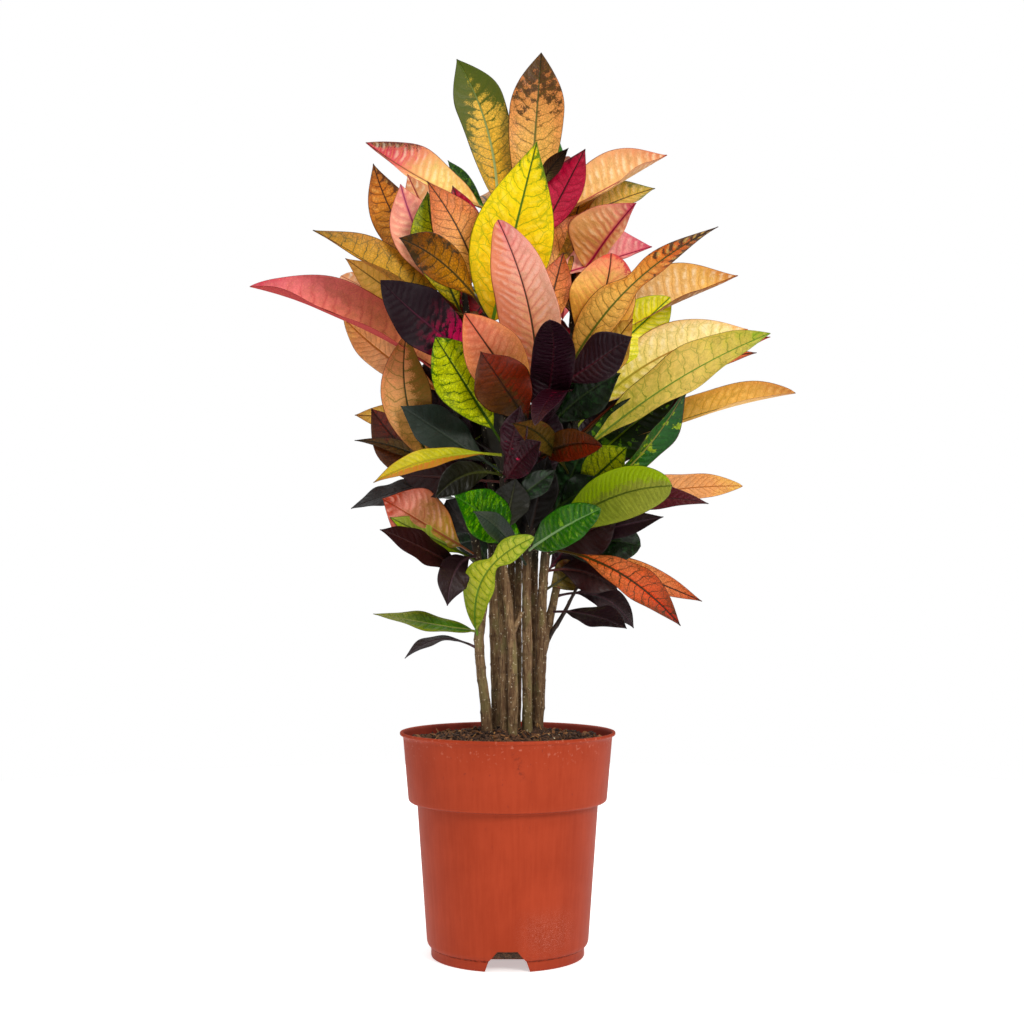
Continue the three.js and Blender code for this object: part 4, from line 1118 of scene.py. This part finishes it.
leaf_finish(
    "russet", "bronze", ((0, "#4c3810"), (0.4, "#5a3412"), (0.75, "#6a2e16"), (1, "#501a0c")),
    ("#241c08", "#3c0c06"), ("#2c1004", 0.6), "#3c1008", edge=("#6c4414", 0.4, 0.55),
    patch=("#7c2410", 0.2, -0.1, 0, 0.5, -0.5, 0.16), net=0.4, gloss=0.38, shine=0.1)
leaf_finish(
    "maroon_magenta", "maroon", ((0, "#400a18"), (0.5, "#300a18"), (1, "#280a16")), ("#44101c", "#2c0a12"),
    ("#140306", 0.5), "#3c1c28", patch=("#d81850", 0, -0.3, 0, 2, 0, 0.66), dust=("#c0a8b8", 0.3), pitch=6,
    net=0.1, quilt=0.9, pale=0.1, gloss=0.34, shine=0.1)
leaf_finish(
    "moss", "olive", ((0, "#60541a"), (0.4, "#5c4818"), (0.75, "#644418"), (1, "#503414")),
    ("#2c2c08", "#241c08"), ("#201c04", 0.6), "#241404", patch=("#6c2c10", 0.2, 0.2, 0, 0.6, 0, 0.4),
    quilt=0.6, pale=0.15, gloss=0.4)
leaf_finish(
    "salmon_olive", "salmon", ((0, "#7c7c1c"), (0.25, "#a4842c"), (0.5, "#c88858"), (0.72, "#d4806c"),
    (0.86, "#a84430"), (1, "#b83820")), ("#8c4c2c", "#a03c20"), ("#a8543c", 0.45), "#5c2014",
    edge=("#b84828", 0.4, 0.6), streak=("#f0b09c", 0.5), net=0.12, quilt=0.7, gloss=0.32, shine=0.2)

# Each row: the stem and the height on it that the leaf grows from, its tip, its stalk's length, its
# width, turn and colouring, and where they aren't 0, 0.1, 0 and 0, its arch, fold, sway and twist.
# These leaves stand for CAD nodes.
LEAVES = [
    ("rear", 740, (-53, 55, 900), 10, 51, -68, "ochre", 0.07, 0.3),
    ("middle", 728, (34, 30, 898), 12, 56, 85, "amber"),
    ("centre", 600, (28, -60, 780), 14, 80, 125, "yellow"),
    ("middle", 690, (77, 0, 790), 20, 44, 88, "crimson"),
    ("rear", 735, (-147, 60, 814), 20, 56, -42, "peach_red", -0.035, 0.6),
    ("front", 648, (-137, 35, 785), 20, 46, -80, "orange_veined", -0.09),
    ("front", 612, (-79, -12, 744), 20, 50, -105, "lime_net", -0.06),
    ("centre", 628, (-79, -25, 751), 20, 52, -78, "terracotta", 0.06),
    ("centre", 620, (-101, -90, 680), 20, 44, -95, "bronze", 0.09),
    ("front", 600, (-192, -10, 706), 20, 56, -38, "olive_orange", 0.03, 0.6),
    ("left", 555, (-258, 15, 655), 20, 92, -27, "salmon", 0.055, 0.5),
    ("left", 440, (-98, -22, 604), 40, 50, -90, "tan", -0.15),
    ("centre", 570, (-119, -80, 642), 20, 60, -90, "black_magenta", -0.05, 0.15),
    ("middle_fork", 540, (-9, -90, 697), 20, 66, 180, "pink", 0, 0.1, 0.07),
    ("centre", 492, (-68, -70, 590), 20, 60, -100, "lime"),
    ("middle", 714, (161, 25, 791), 20, 60, 44, "peach", 0, 0.7),
    ("middle", 692, (152, 60, 766), 20, 48, 52, "peach_speckled", 0.05, 0.5),
    ("right", 652, (125, -30, 728), 28, 58, 95, "peach_pink", 0.04, 0.8),
    ("right_fork", 590, (100, -38, 677), 15, 66, 118, "peach_flame", -0.12),
    ("right_fork", 575, (202, -50, 700), 6, 42, 78, "orange_tip", 0.04, 0.25, -0.15, -20),
    ("middle_fork", 502, (38, -140, 594), 16, 42, 180, "black_maroon", 0.1, 0.1, 0.06),
    ("right", 590, (231, 20, 667), 20, 70, 42, "peach_edge", 0.02, 0.6),
    ("right_fork", 552, (163, 20, 645), 20, 50, 92, "lemon"),
    ("right_fork", 510, (239, 10, 611), 25, 60, 70, "cream", 0.1),
    ("right_fork", 480, (246, -80, 592), 25, 64, 56, "gold_olive", 0.05, 0.25),
    ("right_fork", 470, (284, 0, 546), 30, 54, 30, "gold", 0.05, 0.5),
    ("right", 400, (150, -110, 447), 16, 50, 100, "olive", 0.08),
    ("right", 410, (191, -50, 434), 20, 34, 50, "wine", 0.1),
    ("right", 420, (231, 0, 454), 30, 40, 50, "peach_lower", 0.05),
    ("middle", 500, (107, -60, 557), 22, 46, 110, "green_dark", 0.06, 0.15),
    ("centre", 465, (-103, -35, 529), 20, 52, -60, "slate"),
    ("centre", 482, (-122, -110, 450), 20, 23, -50, "strap", 0.07, 0.3),
    ("left", 466, (-152, -20, 431), 25, 36, -34, "black", 0.02),
    ("left", 360, (-118, -85, 408), 20, 38, -60, "maroon", 0.02),
    ("left", 303, (25, -80, 401), 10, 40, 100, "lime_pale", 0.12, 0.1, -0.14),
    ("left", 311, (-130, -20, 329), 8, 34, -28, "olive_pale"),
    ("left", 294, (-98, -40, 287), 9, 26, -12, "purple", 0.18),
    ("right_fork", 330, (112, -60, 316), 20, 34, 30, "purple", 0.05),
    ("middle", 392, (156, -120, 320), 62, 34, 45, "flame", 0.1, 0.25),
    ("middle", 398, (-48, -115, 438), 14, 48, -104, "green"),
    ("middle", 390, (85, -108, 426), 12, 37, 108, "green_bright", 0.02, 0.15),
    ("rear", 725, (-45, 145, 760), 20, 58, -20, "terracotta", 0.2, 0.2),
    ("middle", 715, (40, 150, 745), 20, 60, 20, "peach", 0.2, 0.2),
    ("right", 690, (115, 130, 730), 20, 56, -30, "yellow", 0.15, 0.2),
    ("rear", 640, (-60, 165, 650), 20, 62, 10, "lime", 0.2, 0.2),
    ("right", 640, (60, 175, 650), 20, 60, -10, "salmon", 0.2, 0.2),
    ("left", 520, (-125, 105, 575), 20, 54, -30, "bronze", 0.1, 0.2),
    ("rear", 580, (-30, 170, 570), 20, 58, 15, "black_maroon", 0.2, 0.2),
    ("right", 560, (150, 120, 590), 20, 56, 30, "crimson", 0.1, 0.2),
    ("right", 500, (90, 165, 510), 20, 54, -20, "maroon", 0.2, 0.2),
    ("rear", 500, (-70, 160, 500), 20, 54, 20, "green", 0.2, 0.2),
    ("left", 430, (-110, 120, 440), 20, 48, 20, "slate", 0.1, 0.2),
]
# Leaves that the CAD model leaves out: between and behind the others, and the buds.
MORE_LEAVES = [
    ("front", 632, (-107, 5, 756), 20, 54, -80, "pink_pale", -0.06),
    ("middle_fork", 522, (-40, -90, 609), 20, 58, -125, "salmon_gold"),
    ("middle_fork", 505, (-25, -90, 573), 20, 56, -140, "russet"),
    ("middle", 660, (144, 10, 694), 20, 58, 50, "rose", 0, 0.6),
    ("right_fork", 570, (124, -20, 637), 20, 44, 70, "gold", 0, 0.2),
    ("middle_fork", 535, (116, -85, 588), 40, 46, 92, "black_maroon"),
    ("right_fork", 430, (169, -60, 542), 50, 34, 165, "green_fleck", -0.08, 0.4),
    ("right", 440, (166, -20, 544), 20, 52, 100, "green_veined", 0.04),
    ("centre", 462, (12, -95, 522), 20, 26, 160, "maroon_magenta", 0, 0.3),
    ("left", 385, (-119, -50, 439), 20, 62, -85, "salmon_olive"),
    ("middle", 700, (50, 95, 837), 20, 40, 35, "green", 0, 0.2),
    ("rear", 725, (-63, 80, 801), 20, 16, -60, "green", 0, 0.2),
    ("rear", 660, (-56, 30, 761), 20, 34, -90, "crimson", 0, 0.2),
    ("front", 640, (-101, 20, 770), 20, 50, -95, "peach"),
    ("front", 590, (-167, 55, 692), 20, 40, -95, "gold"),
    ("rear", 575, (-175, 85, 680), 20, 60, -40, "cream_streak", 0.03, 0.3),
    ("left", 540, (-165, 25, 625), 20, 36, -95, "peach_lower", -0.04),
    ("middle", 742, (60, -10, 788), 16, 17, 133, "bud", 0.05, 0.7),
    ("right", 650, (104, 0, 706), 15, 15, 110, "bud", 0.05, 0.6),
    ("middle_fork", 575, (55, -5, 685), 20, 34, 53, "terracotta", 0, 0.2),
    ("middle", 600, (53, 30, 731), 20, 44, 62, "olive_orange", 0, 0.2),
    ("right_fork", 500, (263, 20, 605), 90, 24, 80, "salmon", 0.08, 0.2),
    ("right_fork", 495, (246, 0, 586), 90, 20, 80, "terracotta", 0.1, 0.2),
    ("right_fork", 545, (25, -125, 501), 14, 30, 0, "maroon_magenta", 0.1, 0.15),
    ("centre", 455, (31, -80, 490), 8, 32, 115, "maroon_magenta", 0.05, 0.3),
    ("right_fork", 460, (4, -110, 504), 20, 26, -131, "moss", 0.1, 0.2),
    ("middle_fork", 480, (86, -115, 483), 12, 31, 104, "russet", 0.06, 0.2),
    ("left", 440, (-154, 30, 502), 20, 16, -60, "moss", 0.11, 0.3),
    ("left", 440, (-138, 35, 535), 20, 52, -70, "russet", -0.05),
    ("left", 520, (-158, 70, 532), 20, 26, -80, "gold"),
    ("centre", 456, (-105, -20, 464), 20, 42, -80, "maroon"),
    ("centre", 462, (-67, -90, 437), 16, 30, -82, "black_olive", 0.13),
    ("left", 380, (-112, -50, 421), 20, 28, -70, "olive"),
    ("left", 385, (-57, -50, 337), 12, 34, -61, "purple", 0.22),
    ("right_fork", 345, (125, 20, 314), 18, 30, 60, "purple", 0.2),
    ("right", 400, (188, -20, 341), 20, 26, 70, "terracotta", 0.01, 0.2),
    ("right", 385, (128, -30, 394), 20, 50, 95, "green_dark", 0.1),
    ("right", 390, (105, -45, 422), 14, 52, 104, "maroon"),
    ("right", 400, (147, -60, 421), 20, 26, 80, "purple", 0, 0.2),
    ("middle", 375, (-30, -140, 422), 20, 22, -120, "slate", 0.05, 0.2),
    ("middle", 400, (39, -25, 482), 10, 38, 130, "black"),
    ("centre", 430, (46, -40, 467), 12, 24, 101, "green_dark"),
    ("right", 430, (90, -20, 461), 12, 34, 113, "green_dark"),
    ("right", 350, (75, 20, 376), 10, 34, 81, "moss"),
    ("right_fork", 440, (113, -60, 487), 15, 44, 110, "lime"),
    ("right_fork", 450, (178, -20, 551), 20, 40, 90, "maroon"),
    ("middle", 715, (53, 20, 782), 14, 30, 70, "rose"),
    # Most rows from here on are dark leaves put in the crown's middle, behind and in front of the canes,
    # where there is shade: their black, maroon and dark green are painted shade as well as the leaves' own
    # colour.
    ("rear", 450, (-53, 30, 487), 12, 56, -90, "black_maroon"),
    ("middle", 420, (4, 35, 502), 12, 50, -150, "maroon"),
    ("right", 410, (77, 35, 487), 12, 56, 90, "green_dark"),
    ("rear", 370, (-3, 45, 452), 12, 50, 170, "black"),
    ("right", 365, (92, 40, 437), 12, 50, 90, "black_maroon"),
    ("rear", 370, (-53, 45, 437), 12, 46, -90, "green_dark"),
    ("right", 395, (147, 40, 472), 12, 50, 90, "maroon"),
    ("rear", 470, (-78, 40, 537), 12, 54, -90, "black_maroon"),
    ("rear", 490, (-18, 40, 567), 12, 56, -90, "green_dark"),
    ("right", 480, (52, 35, 557), 12, 54, 90, "black"),
    ("right", 450, (127, 35, 547), 12, 56, 90, "black_maroon"),
    ("middle", 520, (82, 30, 607), 12, 54, 90, "bronze"),
    ("front", 520, (-68, 40, 607), 12, 56, -90, "bronze"),
    ("middle", 540, (7, 40, 652), 12, 60, -90, "olive_orange"),
    ("right", 600, (132, 40, 652), 12, 56, 90, "amber"),
    ("front", 560, (-83, 40, 657), 12, 56, -90, "russet"),
    ("middle", 640, (92, 35, 737), 12, 56, 90, "terracotta"),
    ("rear", 650, (-14, 50, 728), 12, 60, -90, "orange_veined"),
    ("rear", 440, (-40, -5, 523), 10, 46, -100, "black_maroon", 0.05),
    ("centre", 450, (0, -15, 545), 10, 42, 180, "black"),
    ("middle", 430, (39, -10, 542), 10, 46, 140, "black_maroon"),
    ("right", 415, (82, -5, 509), 10, 46, 100, "green_dark"),
    ("centre", 400, (8, -40, 459), 10, 38, 150, "black_olive"),
    ("rear", 430, (-15, 45, 512), 12, 58, -120, "black"),
    ("right", 400, (40, 45, 530), 12, 60, 120, "black_maroon"),
    ("middle", 430, (22, 40, 540), 12, 60, 180, "maroon"),
    ("right", 370, (108, 8, 352), 14, 46, 60, "maroon", 0.12),
    ("right_fork", 545, (119, -60, 609), 10, 46, 105, "gold"),
    ("left", 400, (-60, -10, 440), 10, 46, -100, "black"),
    ("right", 400, (0, 30, 430), 10, 50, -90, "black"),
    ("rear", 440, (-22, 20, 470), 8, 50, -90, "black"),
    ("rear", 560, (-60, 20, 600), 10, 50, -90, "black_maroon"),
    ("right", 545, (95, 20, 590), 10, 46, 100, "black_maroon"),
    ("left", 430, (-82, 12, 585), 12, 58, -90, "black_maroon"),
]

# Blades of another outline, by number, as in COMMON_OUTLINE.
OUTLINES = {
    1: (0.64, 0.5, 1.05), 2: (0.62, 0.5, 0.95), 3: (0.42, 0.75, 1.1), 4: (0.5, 0.9, 1),
    5: (0.55, 0.8, 0.9), 8: (0.5, 0.9, 1.2), 11: (0.5, 0.9, 0.8), 13: (0.55, 0.9, 0.85),
    14: (0.45, 0.8, 0.6), 15: (0.6, 0.9, 0.9), 18: (0.4, 0.6, 1), 19: (0.5, 0.6, 0.6),
    20: (0.25, 0.7, 1.1, 0.45, 0.5), 21: (0.5, 0.45, 0.5), 23: (0.62, 0.8, 0.75), 25: (0.58, 0.9, 0.9),
    26: (0.62, 1, 0.7), 27: (0.6, 0.8, 0.45), 29: (0.6, 0.9, 0.7), 35: (0.34, 0.8, 0.55, 0.6, 0.64),
    36: (0.45, 0.6, 1.2), 41: (0.5, 0.6, 0.6), 54: (0.5, 0.8, 0.8), 68: (0.6, 0.9, 0.6),
    69: (0.6, 0.9, 0.8), 76: (0.5, 0.7, 0.7), 77: (0.5, 0.7, 0.8), 79: (0.5, 0.7, 0.7), 89: (0.5, 0.7, 0.5),
}

# The rest of each cane's leaves follow its spiral on the sides away from the front: one leaf every
# 137.5 degrees, steeper and yellower towards the top, level and darker low down. Each row is a
# stem and the heights between which its spiral runs.
SPIRALS = [
    ("left", 400, 556), ("rear", 430, 715), ("front", 440, 640), ("centre", 440, 600), ("middle", 400, 745),
    ("right", 400, 716), ("right_fork", 390, 596),
]
SPIRAL_TURN = 137.5
BACK = (25, 155)
CROWN_FOOT, CROWN_TOP = 360, 830
CROWN_BACK = 168
BY_AGE = [
    ("maroon", "green_dark", "black", "green", "olive", "slate"),
    ("black_maroon", "russet", "maroon", "green_veined", "purple", "olive"),
    ("terracotta", "bronze", "salmon", "wine", "olive_orange", "lime"),
    ("amber", "peach", "orange_veined", "lime_net", "peach_edge", "pink"),
]
spiral = []
draw = np.random.default_rng(31)
for stem, low, high in SPIRALS:
    at = low
    azimuth = draw.uniform(0, 360)
    while at < high:
        azimuth = (azimuth + SPIRAL_TURN) % 360
        if BACK[0] < azimuth < BACK[1]:
            # Age runs from 0 low down to 1 at the top, and the crown is narrow at both its ends.
            age = (at - 390) / 360
            steep = math.radians(-5 + 60 * age + draw.uniform(-8, 8))
            reach = draw.uniform(88, 125) * (1.05 - 0.25 * age)
            facing = math.radians(azimuth)
            level = reach * math.cos(steep)
            tip = stem_axis(STEMS[stem][0], at)[0]
            tip += (level * math.cos(facing), level * math.sin(facing), reach * math.sin(steep))
            crown = min(max((tip[2] - CROWN_FOOT) / 90, 0), 1) * min(max((CROWN_TOP - tip[2]) / 110, 0), 1)
            half_crown = 28 + 85 * crown
            tip[0] = min(max(tip[0], 10 - half_crown), 15 + half_crown)
            tip[1] = min(tip[1], CROWN_BACK)
            tints = BY_AGE[min(max(int(age * len(BY_AGE)), 0), len(BY_AGE) - 1)]
            width = draw.uniform(40, 56)
            arch = 0.12 + 0.08 * draw.random()
            turn = draw.uniform(-15, 15)
            look = tints[draw.integers(len(tints))]
            spiral.append((stem, at, tip, 15, width, turn, look, arch, 0.2))
        at += draw.uniform(7, 10)

# Leaves are numbered through all three lists, and the later ones have fewer steps.
number = 0
for rows, steps in ((LEAVES, 40), (MORE_LEAVES, 34), (spiral, 26)):
    for stem, at, tip, stalk, width, turn, look, *bend in rows:
        number += 1
        mesh = leaf(number, steps, OUTLINES.get(number, ()), stem, at, tip, stalk, width, turn, *bend)
        nodes = [f"leaf_{number:02d}"] if rows is LEAVES else []
        piece(f"croton_leaf_{number:02d}", mesh, *LOOKS[look], *nodes)

# ------------------------------------------------------------------------------------------ sizes
# The box of the CAD model and the box of everything above, in metres.

plant_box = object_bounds()
sizes = {"cad": [list(corner) for corner in cad_box], "visual": [list(corner) for corner in plant_box]}
